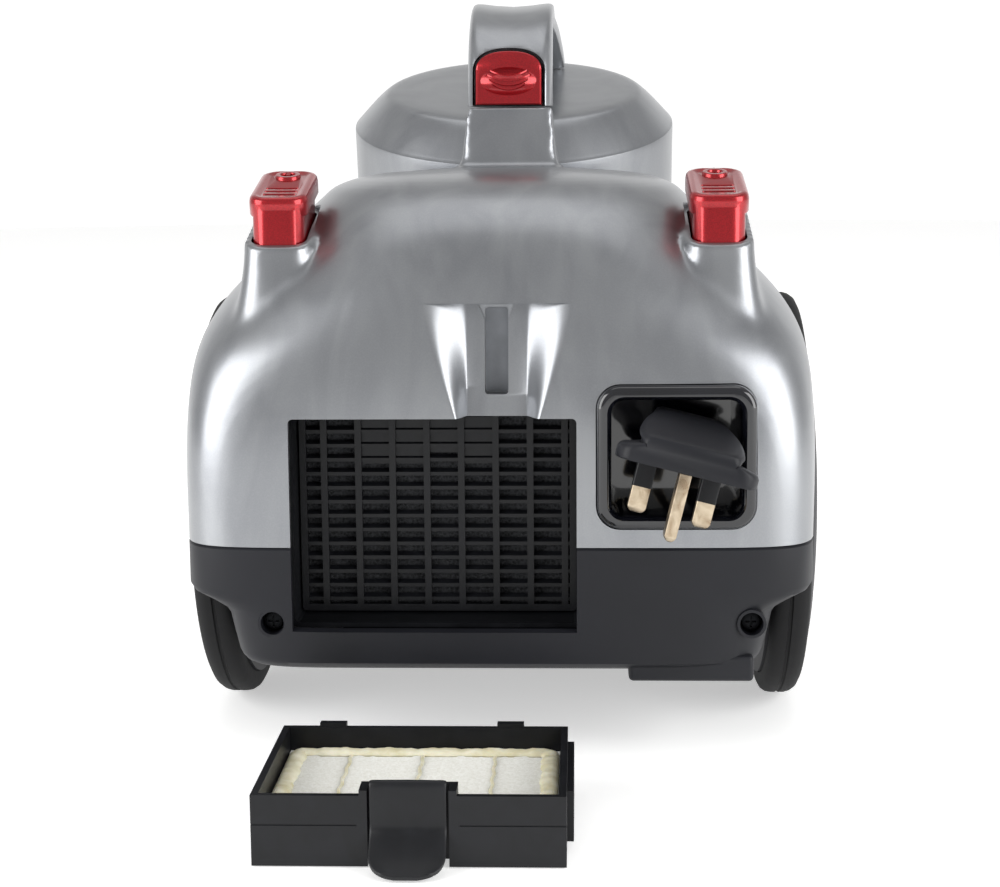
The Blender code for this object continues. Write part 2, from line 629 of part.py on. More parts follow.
def build_motor():
    can = [(3.2, -58), (24, -58), (26, -52), (40, -50), (40, 22), (14, 22), (14, 19), (36.5, 19), (36.5, -47), (3.2, -47)]
    lathe("motor_can", can, STEEL, along_y(MOTOR.x, 0, MOTOR.z), 28)
    blades = [(0, -44), (3.1, -44), (3.1, 25.5), (36, 25.5), (36, 27), (30, 37), (12, 38), (0, 38)]
    lathe("motor_fan", blades, GREY, along_y(MOTOR.x, 0, MOTOR.z), 24)
    for name, span in (("motor_mount_rear", (-46, -38)), ("motor_mount_front", (8, 16))):
        ring(name, 40.3, 43.0, span, RUBBER, along_y(MOTOR.x, 0, MOTOR.z), 28)
    base = box("motor_cradle", (-62, 8), (-46, 16), (29.2, 33), BLACK)
    for i, span in enumerate(((-46, -38), (8, 16))):
        weld(base, box(f"cradle_leg_{i}", (-60, 6), span, (32, 96)))
    cut(base, rod("cradle_bore", 43.3, (-60, 40), None, along_y(MOTOR.x, 0, MOTOR.z), 28))
    rod("pre_motor_filter", 33, (41.5, 49.5), FOAM, along_y(MOTOR.x, 0, MOTOR.z), 24)


def build_reel():
    turned = along_x(0, REEL.y, REEL.z)
    drum = [(BORE_RADIUS, 17), (50, 17), (50, 19), (20, 19), (20, 52), (50, 52), (50, 54), (BORE_RADIUS, 54)]
    lathe("cord_reel", drum, GREY, turned, 28)
    wound = [(20.3, 19.3)] + [(47.0 - 1.6 * (i % 2), 19.3 + 5.4 * i) for i in range(7)] + [(20.3, 51.7)]
    lathe("wound_cord", wound, NYLON, turned, 24)
    plate = box("reel_bracket", (55.6, 58.0), (-8, 20), (29.2, 112), STEEL)
    weld(plate, rod("reel_axle", AXLE_RADIUS, (16.6, 57), None, turned, 20))


def build_screws():
    for name, x in (("left", -78.0), ("right", 87.0)):
        head = [(0, -95.6), (3.5, -95.6), (3.5, -92.3), (1.9, -92.3), (1.9, -81), (0, -81)]
        lathe(f"housing_screw_{name}", head, STEEL, along_y(x, 0, 49.5), 14)


def build_bumper():
    """A soft strip round the nose."""
    inner, outer = [], []
    for i in range(17):
        angle = math.radians(35 + 110 * i / 16)
        c, s = math.cos(angle), math.sin(angle)
        x = math.copysign(abs(c) ** (2 / 2.6), c)
        y = abs(s) ** (2 / 2.6)
        inner.append((x * 112.0, y * (NOSE_Y + 1.0)))
        outer.append((x * 114.8, y * (NOSE_Y + 4.2)))
    prism("nose_bumper", inner + outer[::-1], "z", (61, 71), RUBBER)


def build_cassette():
    x0, x1, y0, y1, tall = CASSETTE
    frame = box("filter_frame", (x0, x1), (y0, y1 - 1.0), (0, tall), BLACK)
    pocket_wall = box("clip_wall", (CLIP_X - 14.6, CLIP_X + 14.6), (y0, y0 + 8.7), (0, tall + 1.6))
    hollow = box("frame_hollow", (x0 + 2.2, x1 - 2.2), (y0 + 2.2, y1 - 3.2), (-5, 40))
    keep = box("clip_keep", (CLIP_X - 14.6, CLIP_X + 14.6), (y0 - 5, y0 + 8.7), (-6, 41))
    cut(hollow, keep)
    weld(frame, pocket_wall)
    ledge = box("frame_flange", (x1 - 0.5, x1 + 2.1), (y0 + 14, y1 - 8), (3, 19))
    weld(frame, ledge)
    for i, x in enumerate((-53.5, 5.3)):
        weld(frame, box(f"back_tab_{i}", (x - 4.4, x + 4.4), (y1 - 2.6, y1), (12, tall + 1.4)))
    cut(frame, hollow, box("clip_pocket", (CLIP_X - 12.2, CLIP_X + 12.2), (y0 - 5, y0 + 6.7), (-5, 40)))
    xs, zs = [x0 + 2.5], [y0 + 9.1]
    xs += [x0 + 5.5]
    for i in range(5):
        centre = x0 + 5.5 + (x1 - x0 - 11) * (i + 1) / 6
        xs += [centre - 1.1, centre + 1.1]
    xs += [x1 - 5.5, x1 - 2.5]
    zs += [y0 + 12.1]
    for i in range(3):
        centre = y0 + 12.1 + (y1 - y0 - 18.6) * (i + 1) / 4
        zs += [centre - 1.1, centre + 1.1]
    zs += [y1 - 6.5, y1 - 3.5]
    cover = lattice("filter_cover", xs, zs, (0, 2), BLACK)
    lay_flat(cover, (0.2, 2.2))
    line = []
    count, low, high = 18, 8.0, 15.0
    start, stop = y0 + 9.2, y1 - 3.6
    line += [(start, 3.0), (stop, 3.0), (stop, high + 0.8), (stop - 5, high + 0.8)]
    for i in range(2 * count + 1):
        y = stop - 5.5 + (start + 5.5 - (stop - 5.5)) * i / (2 * count)
        line.append((y, high if i % 2 == 0 else low))
    line += [(start + 5, high + 0.8), (start, high + 0.8)]
    prism("filter_media", line, "x", (x0 + 2.6, x1 - 2.6), PAPER)
    rows = ((-197.6, 25.3, 11.5, -198.3), (-197.6, 18, 11.5, -198.3), (-197.6, 11.5, 11.5, -198.3), (-201.4, 6.0, 11.5, -202.3), (-203.6, 3.0, 9.0, -204.8), (-205.4, 1.0, 4.5, -206.4))
    rings = []
    for inner, z, half, outer in rows:
        rings.append([(CLIP_X - half, inner + 0.9, z + 0.4), (CLIP_X + half, inner + 0.9, z + 0.4), (CLIP_X + half, outer, z - 0.4), (CLIP_X - half, outer, z - 0.4)])
    loft("filter_clip", rings, BLACK)


def lay_flat(made, heights):
    """Turns a standing lattice, drawn in X and Z, into one lying in X and Y."""
    low, high = heights
    for vertex in made.data.vertices:
        x, y, z = vertex.co
        side = high if abs(y / SCALE + ORIGIN_Y) < 1 else low
        vertex.co = (x, z - ORIGIN_Y * SCALE, side * SCALE)


def main():
    wells, kept, door, stubs = housing_cutters()
    build_upper(wells, kept, door, stubs)
    build_lower(wells, kept, door, stubs)
    build_dock()
    build_bay()
    build_bezel()
    build_plug()
    build_wheels()
    build_caster()
    build_pedals()
    build_bin()
    build_lid()
    build_handle()
    build_motor()
    build_reel()
    build_screws()
    build_bumper()
    build_cassette()


main()
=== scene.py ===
import math

import bmesh
import bpy
from mathutils import Matrix, Vector


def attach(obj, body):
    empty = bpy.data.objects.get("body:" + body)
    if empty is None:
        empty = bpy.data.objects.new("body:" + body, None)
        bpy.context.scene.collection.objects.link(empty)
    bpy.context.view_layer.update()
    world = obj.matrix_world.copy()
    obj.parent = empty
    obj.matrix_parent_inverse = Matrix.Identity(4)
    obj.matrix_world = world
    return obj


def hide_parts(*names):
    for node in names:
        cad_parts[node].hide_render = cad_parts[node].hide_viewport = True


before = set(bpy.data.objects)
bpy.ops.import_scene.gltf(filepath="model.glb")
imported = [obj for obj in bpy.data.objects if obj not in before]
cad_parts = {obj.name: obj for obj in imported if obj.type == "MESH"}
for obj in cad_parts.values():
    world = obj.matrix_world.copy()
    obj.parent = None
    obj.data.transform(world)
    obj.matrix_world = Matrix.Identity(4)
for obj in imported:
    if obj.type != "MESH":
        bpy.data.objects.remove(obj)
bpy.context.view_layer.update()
print("frame loaded:", len(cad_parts), "nodes")

# Sizes are in millimetres. X is across, +Y is the way the cleaner travels, Z is up, and Y = 0 is over the wheel axle.
axleBehindMiddle = 21.4
toRow = Matrix.Scale(0.001, 4) @ Matrix.Translation((0, -axleBehindMiddle, 0))
bay = {"left": -70.8, "right": 27.2, "low": 47.9, "high": 120.7}
dustBin = {"rim": Vector((0.0, 108.0, 220.0)), "lean": 15.0, "radius": 66.0, "depth": 171.0, "cradle": 70.8, "port": -48.0}
inBin = Matrix.Translation(dustBin["rim"]) @ Matrix.Rotation(math.radians(dustBin["lean"]), 4, "X")
pedalAt = 76.8
pedalBack = -54.0


def linear(hexColour):  # sRGB hex to the linear colour that shaders use
    parts = [int(hexColour[i:i + 2], 16) / 255 for i in (0, 2, 4)]
    return tuple(p / 12.92 if p <= 0.04045 else ((p + 0.055) / 1.055) ** 2.4 for p in parts) + (1.0,)


def perMm(size):  # texture scale for a pattern whose real size is this many millimetres
    return 1000.0 / size


def addNode(tree, kind, settings=None, links=None):  # one node, its values, and what feeds it
    node = tree.nodes.new(kind)
    for name, value in (settings or {}).items():
        if isinstance(name, int) or name in node.inputs:
            node.inputs[name].default_value = value
        else:
            setattr(node, name, value)
    for name, source in (links or {}).items():
        tree.links.new(source, node.inputs[name])
    return node


def startFinish(name, colour, roughness, metallic=0.0, **more):  # a Principled surface with its even values set on it
    made = bpy.data.materials.new(name)
    made.use_nodes = True
    tree = made.node_tree
    surface = tree.nodes["Principled BSDF"]
    surface.inputs["Base Color"].default_value = linear(colour)
    surface.inputs["Roughness"].default_value = roughness
    surface.inputs["Metallic"].default_value = metallic
    for socket, value in more.items():
        surface.inputs[socket.replace("_", " ")].default_value = value
    place = addNode(tree, "ShaderNodeTexCoord").outputs["Object"]
    return made, tree, surface, place


def noise(tree, place, size, detail, twist=0.0):  # cloudy pattern, its size in millimetres
    settings = {"Scale": perMm(size), "Detail": detail, "Distortion": twist}
    return addNode(tree, "ShaderNodeTexNoise", settings, {"Vector": place}).outputs["Fac"]


def cells(tree, place, size, randomness=1.0):  # distance from the middle of each cell
    settings = {"Scale": perMm(size), "Randomness": randomness}
    return addNode(tree, "ShaderNodeTexVoronoi", settings, {"Vector": place}).outputs["Distance"]


def stretched(tree, place, scale):
    return addNode(tree, "ShaderNodeMapping", {"Scale": scale}, {"Vector": place}).outputs["Vector"]


def colourBetween(tree, surface, amount, first, second, low=0.3, high=0.7):  # base colour varied by a pattern
    ramp = addNode(tree, "ShaderNodeValToRGB", links={"Fac": amount})
    ramp.color_ramp.elements[0].position, ramp.color_ramp.elements[1].position = low, high
    ramp.color_ramp.elements[0].color, ramp.color_ramp.elements[1].color = linear(first), linear(second)
    tree.links.new(ramp.outputs["Color"], surface.inputs["Base Color"])


def roughBetween(tree, surface, amount, low, high):
    spread = addNode(tree, "ShaderNodeMapRange", {"To Min": low, "To Max": high}, {"Value": amount})
    tree.links.new(spread.outputs["Result"], surface.inputs["Roughness"])


def raised(tree, surface, height, millimetres, strength=1.0):
    bump = addNode(tree, "ShaderNodeBump", {"Strength": strength, "Distance": millimetres * 0.001}, {"Height": height})
    tree.links.new(bump.outputs["Normal"], surface.inputs["Normal"])


def clouded(name, colour, roughness, metallic, pattern, shades, rough=None, relief=None, **more):
    # A finish whose colour, gloss and relief all follow one noise. The pattern is (size in mm, detail, twist).
    made, tree, surface, place = startFinish(name, colour, roughness, metallic, **more)
    amount = noise(tree, place, *pattern)
    colourBetween(tree, surface, amount, *shades)
    if rough:
        roughBetween(tree, surface, amount, *rough)
    if relief:
        raised(tree, surface, amount, *relief)
    return made


def silverLacquer():
    # Metallic lacquer sprayed on moulded ABS: soft wide highlights, a fine flake, faint flow marks and a little orange peel.
    made, tree, surface, place = startFinish(
        "silver_lacquer_on_moulded_abs", "8C8E91", 0.33, 0.88, Coat_Weight=0.25, Coat_Roughness=0.18)
    flow = noise(tree, stretched(tree, place, (1.0, 1.0, 0.28)), 26, 3.0, 1.6)
    flake = cells(tree, place, 0.55)  # real flakes are near 0.05 mm
    mixed = addNode(tree, "ShaderNodeMath", {"operation": "MULTIPLY_ADD", 1: 0.16}, {0: flake, 2: flow})
    colourBetween(tree, surface, mixed.outputs[0], "888A8E", "97999C", 0.35, 0.75)
    roughBetween(tree, surface, flow, 0.30, 0.37)
    raised(tree, surface, noise(tree, place, 1.6, 2.0), 0.012, 0.5)
    return made


def sparkBlack():
    # Black ABS from a spark-eroded mould: a dull, even grain that greys where light grazes it.
    made, tree, surface, place = startFinish(
        "black_abs_spark_eroded_mould", "14151A", 0.5, IOR=1.53, Specular_IOR_Level=0.3)
    wear = noise(tree, place, 38, 2.0)
    colourBetween(tree, surface, wear, "111217", "17181E")
    roughBetween(tree, surface, wear, 0.44, 0.56)
    raised(tree, surface, noise(tree, place, 0.7, 4.0), 0.03, 0.5)
    return made


def redLacquer():
    # Candy red lacquer over a metallic base on ABS: deep red that turns bright where it faces the light.
    made, tree, surface, place = startFinish(
        "red_metallic_lacquer_on_abs", "A8101C", 0.3, 0.7, Coat_Weight=0.6, Coat_Roughness=0.1)
    colourBetween(tree, surface, cells(tree, place, 0.5), "860C15", "A5121C", 0.1, 0.7)
    peel = noise(tree, place, 1.4, 2.0)
    roughBetween(tree, surface, peel, 0.26, 0.34)
    raised(tree, surface, peel, 0.01, 0.4)
    return made


def drawnSteel():
    # Drawn or pressed steel, bright: fine lines along the work.
    made, tree, surface, place = startFinish("steel_drawn_bright", "B8B9BB", 0.3, 1.0)
    lines = noise(tree, stretched(tree, place, (1.0, 0.06, 1.0)), 0.8, 3.0)
    colourBetween(tree, surface, lines, "A6A7A9", "C4C5C7")
    roughBetween(tree, surface, lines, 0.22, 0.42)
    raised(tree, surface, lines, 0.01, 0.4)
    return made


def perforatedSteel():
    # Etched steel mesh of the shroud: 0.9 mm holes on a 1.5 mm pitch, drawn as dark dimples.
    made, tree, surface, place = startFinish("steel_etched_mesh", "8E9093", 0.35, 1.0)
    holes = cells(tree, place, 1.5, 0.0)
    colourBetween(tree, surface, holes, "1A1B1D", "A3A5A8", 0.42, 0.5)
    raised(tree, surface, holes, 0.2, 0.6)
    return made


def openFoam():
    # Open-cell polyurethane foam, cut, with pores about a millimetre across. Its greys are kept very dark as painted
    # shade for the deep rear bay, and each pore centre is painted dark as the shade inside it.
    made, tree, surface, place = startFinish("polyurethane_foam_cut_painted_shade", "55565A", 0.95)
    poresAndShade = cells(tree, place, 1.2)
    colourBetween(tree, surface, poresAndShade, "121314", "2E2F32", 0.1, 0.6)
    raised(tree, surface, poresAndShade, 0.6, 0.8)
    return made


finishes = {
    "silver_abs": silverLacquer(), "black_abs": sparkBlack(), "red_abs": redLacquer(),
    "steel": drawnSteel(), "mesh_steel": perforatedSteel(), "filter_foam": openFoam(),
    # Black ABS from a plain mould, for inner ribs and the cassette: half gloss, with faint rub marks.
    "inner_black": clouded("black_abs_plain_mould", "0E0F12", 0.38, 0.0, (9, 5.0, 0.8), ("0B0C0F", "131418"), (0.32, 0.5), (0.02, 0.3),
        IOR=1.53, Specular_IOR_Level=0.3),
    # Black ABS from a polished mould: mirror gloss with a very slight ripple.
    "gloss_black_abs": clouded("black_abs_polished_mould", "0B0C11", 0.08, 0.0, (14, 1.0), ("090A0F", "0F1016"), None, (0.03, 0.3),
        IOR=1.53, Coat_Weight=0.5, Coat_Roughness=0.04),
    # Moulded rubber: dull and slightly dusty.
    "rubber": clouded("black_rubber_moulded", "111113", 0.72, 0.0, (4, 6.0), ("0E0E10", "181819"), (0.62, 0.82), (0.05, 0.5),
        Specular_IOR_Level=0.25),
    # Clear polycarbonate with a light smoke tint: glassy, with the fine haze of dust and handling.
    "clear_polycarbonate": clouded("smoked_polycarbonate_polished_mould", "B9BEC6", 0.06, 0.0, (18, 6.0), ("AEB4BD", "C6CAD0"), (0.03, 0.14),
        IOR=1.586, Transmission_Weight=0.92),
    # Grey ABS from a plain mould, for the cyclone and inner parts: an even satin.
    "grey_abs": clouded("grey_abs_plain_mould", "6C6F74", 0.42, 0.0, (6, 4.0), ("66696E", "74777C"), (0.38, 0.5), (0.02, 0.4), IOR=1.53),
    # Nickel-plated brass, tumbled: warm grey metal with handling smears.
    "plated_brass": clouded("brass_nickel_plated_tumbled", "B5A58E", 0.3, 1.0, (5, 5.0, 1.0), ("9A8770", "CDBFA8"), (0.2, 0.42), (0.01, 0.3)),
    # Screw steel with black zinc plating: a dull dark sheen that sits quietly in its hole.
    "black_steel": clouded("steel_black_zinc_plated", "17181A", 0.5, 0.85, (0.8, 3.0), ("131416", "1D1E21"), (0.42, 0.58)),
    # White glass-fibre paper: matt, soft, with loose fibres.
    "filter_paper": clouded("glass_fibre_paper_pleated", "EAE9E4", 0.92, 0.0, (0.9, 6.0, 0.6), ("E2E1DA", "F2F2EE"), None, (0.06, 0.5),
        Sheen_Weight=0.15, Sheen_Roughness=0.5),
    # Polyurethane potting glue, poured and set: cream, lumpy and half matt.
    "glue": clouded("polyurethane_glue_cast", "D9D3B4", 0.6, 0.0, (5, 4.0), ("CDC5A0", "E6E2CC"), (0.5, 0.75), (0.5, 0.6),
        IOR=1.5, Subsurface_Weight=0.15, Subsurface_Radius=(0.003, 0.002, 0.001)),
    # Extruded PVC flex: soft satin with faint drawing lines.
    "pvc_cord": clouded("black_pvc_extruded", "1A1A1C", 0.5, 0.0, (2, 3.0), ("161618", "232326"), (0.42, 0.6), IOR=1.53),
}
print("finishes made:", len(finishes))


# Mesh tools, in millimetres until a piece is put in place.

def rawMesh(name, points, faces):
    mesh = bpy.data.meshes.new(name)
    mesh.from_pydata([tuple(p) for p in points], [], faces)
    work = bmesh.new()
    work.from_mesh(mesh)
    bmesh.ops.recalc_face_normals(work, faces=work.faces)
    work.to_mesh(mesh)
    work.free()
    made = bpy.data.objects.new(name, mesh)
    bpy.context.scene.collection.objects.link(made)
    return made


def turnedBy(made, transform):
    made.data.transform(transform)
    if transform.determinant() < 0:
        made.data.flip_normals()
    return made


def loft(name, rings, closed=False):  # a skin through rings of equal length, capped unless it closes on itself
    count = len(rings[0])
    points = [p for ring in rings for p in ring]
    faces = [] if closed else [tuple(range(count)), tuple(range(len(points) - count, len(points)))]
    for level in range(len(rings) if closed else len(rings) - 1):
        for i in range(count):
            a, b = level * count + i, level * count + (i + 1) % count
            c, d = [(k + count) % len(points) for k in (b, a)]
            faces.append((a, b, c, d))
    return rawMesh(name, points, faces)


def block(name, x, y, z):
    return loft(name, [[(x[0], y[0], h), (x[1], y[0], h), (x[1], y[1], h), (x[0], y[1], h)] for h in z])


def push(name, outline, along, span):  # an outline drawn across one axis and pushed along it
    turn = {"x": lambda u, v, d: (d, u, v), "y": lambda u, v, d: (u, d, v), "z": lambda u, v, d: (u, v, d)}[along]
    return loft(name, [[turn(u, v, depth) for u, v in outline] for depth in span])


def roundBox(x, z, radius, steps=8):  # outline of a rectangle with round corners
    points = []
    for cx, cz, start in ((x[1], z[1], 0), (x[0], z[1], 90), (x[0], z[0], 180), (x[1], z[0], 270)):
        mx, mz = cx + (radius if cx == x[0] else -radius), cz + (radius if cz == z[0] else -radius)
        for step in range(steps + 1):
            angle = math.radians(start + 90 * step / steps)
            points.append((mx + radius * math.cos(angle), mz + radius * math.sin(angle)))
    return points


def levelRing(x, y, z, radius, steps=8):
    return [(u, v, z) for u, v in roundBox(x, y, radius, steps)]


def uprightRing(x, y, z, radius, steps=8):
    return [(u, y, v) for u, v in roundBox(x, z, radius, steps)]


def lathe(name, profile, transform=None, steps=96):  # a closed loop of (radius, height) turned about Z
    points, faces, rows = [], [], []
    for radius, height in profile:
        if radius == 0:
            rows.append([len(points)] * steps)
            points.append((0, 0, height))
            continue
        rows.append(list(range(len(points), len(points) + steps)))
        turns = [2 * math.pi * i / steps for i in range(steps)]
        points += [(radius * math.cos(turn), radius * math.sin(turn), height) for turn in turns]
    for row in range(len(rows)):
        here, there = rows[row], rows[(row + 1) % len(rows)]
        if profile[row][0] == 0 and profile[(row + 1) % len(rows)][0] == 0:
            continue
        for i in range(steps):
            j = (i + 1) % steps
            corners = []
            for corner in (here[i], here[j], there[j], there[i]):
                if corner not in corners:
                    corners.append(corner)
            faces.append(tuple(corners))
    made = rawMesh(name, points, faces)
    return turnedBy(made, transform) if transform is not None else made


def rod(name, radius, span, transform=None, steps=48):
    return lathe(name, [(0, span[0]), (radius, span[0]), (radius, span[1]), (0, span[1])], transform, steps)


def alongX(x=0.0, y=0.0, z=0.0, mirrored=False):
    return Matrix.Translation((x, y, z)) @ Matrix.Rotation(math.radians(-90 if mirrored else 90), 4, "Y")


def alongY(x=0.0, y=0.0, z=0.0):
    return Matrix.Translation((x, y, z)) @ Matrix.Rotation(math.radians(-90), 4, "X")


def useModifier(made, kind, **settings):  # adds a modifier and turns its result into the mesh
    modifier = made.modifiers.new(kind.lower(), kind)
    for name, value in settings.items():
        setattr(modifier, name, value)
    graph = bpy.context.evaluated_depsgraph_get()
    mesh = bpy.data.meshes.new_from_object(made.evaluated_get(graph))
    made.modifiers.clear()
    made.data = mesh
    return made


def booleans(target, operation, others):
    for other in others:
        useModifier(target, "BOOLEAN", operation=operation, solver="MANIFOLD", object=other)
    for other in others:
        bpy.data.objects.remove(other, do_unlink=True)
    return target


def cut(target, *others):
    return booleans(target, "DIFFERENCE", others)


def weld(target, *others):
    return booleans(target, "UNION", others)


def easeEdges(made, radius, steps=2, angle=32):
    return useModifier(made, "BEVEL", width=radius, segments=steps, limit_method="ANGLE", angle_limit=math.radians(angle),
                       harden_normals=False, use_clamp_overlap=True)


def fit(made, body, finish, *nodes, sharp=34):  # puts a finished piece into the row frame, on its body
    made.data.transform(toRow)
    made.data.materials.clear()
    made.data.materials.append(finishes[finish])
    made.data.shade_smooth()
    made.data.set_sharp_from_angle(angle=math.radians(sharp))
    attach(made, body)
    if nodes:
        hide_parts(*nodes)
    return made


def between(stations, per=6):  # smooth points through a list of tuples, by Catmull-Rom
    rows = []
    for i in range(len(stations) - 1):
        p0, p1 = stations[max(0, i - 1)], stations[i]
        p2, p3 = stations[i + 1], stations[min(len(stations) - 1, i + 2)]
        for k in range(per):
            t = k / per
            rows.append(tuple(0.5 * ((2 * b) + (c - a) * t + (2 * a - 5 * b + 4 * c - d) * t * t + (3 * b - a - 3 * c + d) * t ** 3)
                              for a, b, c, d in zip(p0, p1, p2, p3)))
    rows.append(tuple(stations[-1]))
    return rows


# Housing: a silver upper shell and a black lower shell that share one outline.
housing = {
    "rear": 101.0, "arms": 190.0, "nose": 245.0, "base": 72.0, "top": 203.0, "split": 76.3, "wall": 2.6, "voxel": 1.15,
    "frontRound": 2.6,
    # left, right, back, front and height of the block that rises to meet the handle
    "ridge": ((-20, 22.5, 2, 62, 186), (-17.6, 20.2, 6, 60, 203), (-16.4, 19.1, 9, 59, 212), (-15.4, 18.2, 11.5, 58, 219),
              (-14.7, 17.7, 13.6, 56, 225.6)),
    "halfWidth": ((76.3, 110.8), (104, 111.2), (122, 111.0), (134, 110.4), (145, 108.6), (152, 105.6), (160, 100), (168, 92.3),
                  (178, 83), (186, 75.4), (192.5, 68.6), (197.5, 62), (201, 48), (202.7, 26)),
    "rearCorner": ((76.3, 10.0), (110, 9.0), (132, 6.8), (150, 4.4), (160, 3.7), (175, 3.0), (202.7, 2.5))}  # (height, value) rows
wheel = {"radius": 77.4, "well": 80.5, "wellFrom": 88.5}


def keeps(z, power):  # share of its full reach that the dome keeps at this height
    rise = max(0.0, (z - housing["base"]) / (housing["top"] - housing["base"]))
    return max(0.0, 1 - rise ** power) ** (1 / power)


def readOff(rows, z):  # a smooth value between the rows of a short table
    if z <= rows[0][0]:
        return rows[0][1]
    for i in range(len(rows) - 1):
        (low, first), (high, second) = rows[i], rows[i + 1]
        if z <= high:
            before, after = rows[max(0, i - 1)], rows[min(len(rows) - 1, i + 2)]
            t, span = (z - low) / (high - low), high - low
            slopeIn = (second - before[1]) / (high - before[0]) * span
            slopeOut = (after[1] - first) / (after[0] - low) * span
            ends = first * (2 * t ** 3 - 3 * t * t + 1) + slopeIn * (t ** 3 - 2 * t * t + t)
            return ends + second * (3 * t * t - 2 * t ** 3) + slopeOut * (t ** 3 - t * t)
    return rows[-1][1]


def plan(halfRear, halfFront, rear, front, z, steps=44):
    points = []
    for i in range(4 * steps):
        angle = 2 * math.pi * i / (4 * steps)
        c, s = math.cos(angle), math.sin(angle)
        behind = s < -1e-9
        power, half, reach = (readOff(housing["rearCorner"], z), halfRear, rear) if behind else (housing["frontRound"], halfFront, front)
        points.append((math.copysign(abs(c) ** (2 / power), c) * half, math.copysign(abs(s) ** (2 / power), s) * reach, z))
    return points


def domeLevels(inset, low, count=40, steps=44):
    levels = []
    for i in range(count + 1):
        z = low + (202.85 - low) * (1 - (1 - i / count) ** 2.2)
        half = max(4.0, readOff(housing["halfWidth"], z) - inset)
        back = max(4.0, housing["rear"] * keeps(z, 3.5) - inset)
        front = max(4.0, housing["arms"] * keeps(z, 1.7) - inset)
        levels.append(plan(half, half, back, front, z - inset * (z > 150), steps))
    return levels


def wells(radius, inner):
    return [rod("well", radius, (inner, 140), alongX(0, 0, wheel["radius"], left), 128) for left in (True, False)]


def padLean(x):
    return Matrix.Translation((x, pedalBack, 197.6)) @ Matrix.Rotation(math.radians(13), 4, "X")


def towerRings(x):  # the sleeve round a pedal stem, wide where it grows out of the dome
    rings = []
    flare = [(9.6, 124, 124), (8.0, 134, 134), (5.4, 146, 147), (3.0, 156, 160), (1.2, 165, 173), (0.3, 171.5, 182), (0.0, 176, 191)]
    for grow, low, high in between(flare, 4):
        line = roundBox((x - 12 - grow, x + 12 + grow), (pedalBack - 23 - grow * 1.8, pedalBack + 22 + grow * 1.4), 7.5 + grow * 0.7, 8)
        rings.append([(u, v, low + (high - low) * (v - pedalBack + 28) / 52) for u, v in line])
    return rings


def smoothNear(made, weightOf, times):  # relaxes the skin where the weight is above zero
    group = made.vertex_groups.new(name="relax")
    for vertex in made.data.vertices:
        weight = weightOf(*vertex.co)
        if weight > 0:
            group.add([vertex.index], min(1.0, weight), "REPLACE")
    useModifier(made, "SMOOTH", factor=0.5, iterations=times, vertex_group="relax")
    made.vertex_groups.clear()
    return made


def filletWeight(x, y, z):
    tower = 0.0
    if 50 < abs(x) < 108 and -108 < y < 0 and 122 < z < 176:
        tower = min(1.0, (176 - z) / 12)
    ridge = 0.0
    if -44 < x < 46 and -20 < y < 84 and 184 < z < 217:
        ridge = min(1.0, (217 - z) / 9)
    return max(tower, ridge)


def parkFunnel(steps=16, levels=30):  # the recess a floor tool's hook slides down: its sides open out towards the top
    rings = []
    for level in range(levels + 1):
        share = level / levels
        z = 119.0 + 40.2 * share
        left, right = -13.5 - 13.5 * share, 14.5 + 13.5 * share
        skin, plate = -housing["rear"] * keeps(z, 3.5), -92.7 + 5.0 * share
        side = [math.sin(math.pi / 2 * k / steps) ** 1.3 for k in range(steps + 1)]
        line = [(10.2 + (right - 10.2) * k / steps, plate + (skin - plate) * side[k], z) for k in range(steps + 1)]
        line += [(right, -112, z), (left, -112, z)]
        line += [(-10 + (left + 10) * k / steps, plate + (skin - plate) * side[k], z) for k in range(steps, -1, -1)]
        rings.append(line)
    return loft("funnel", rings)


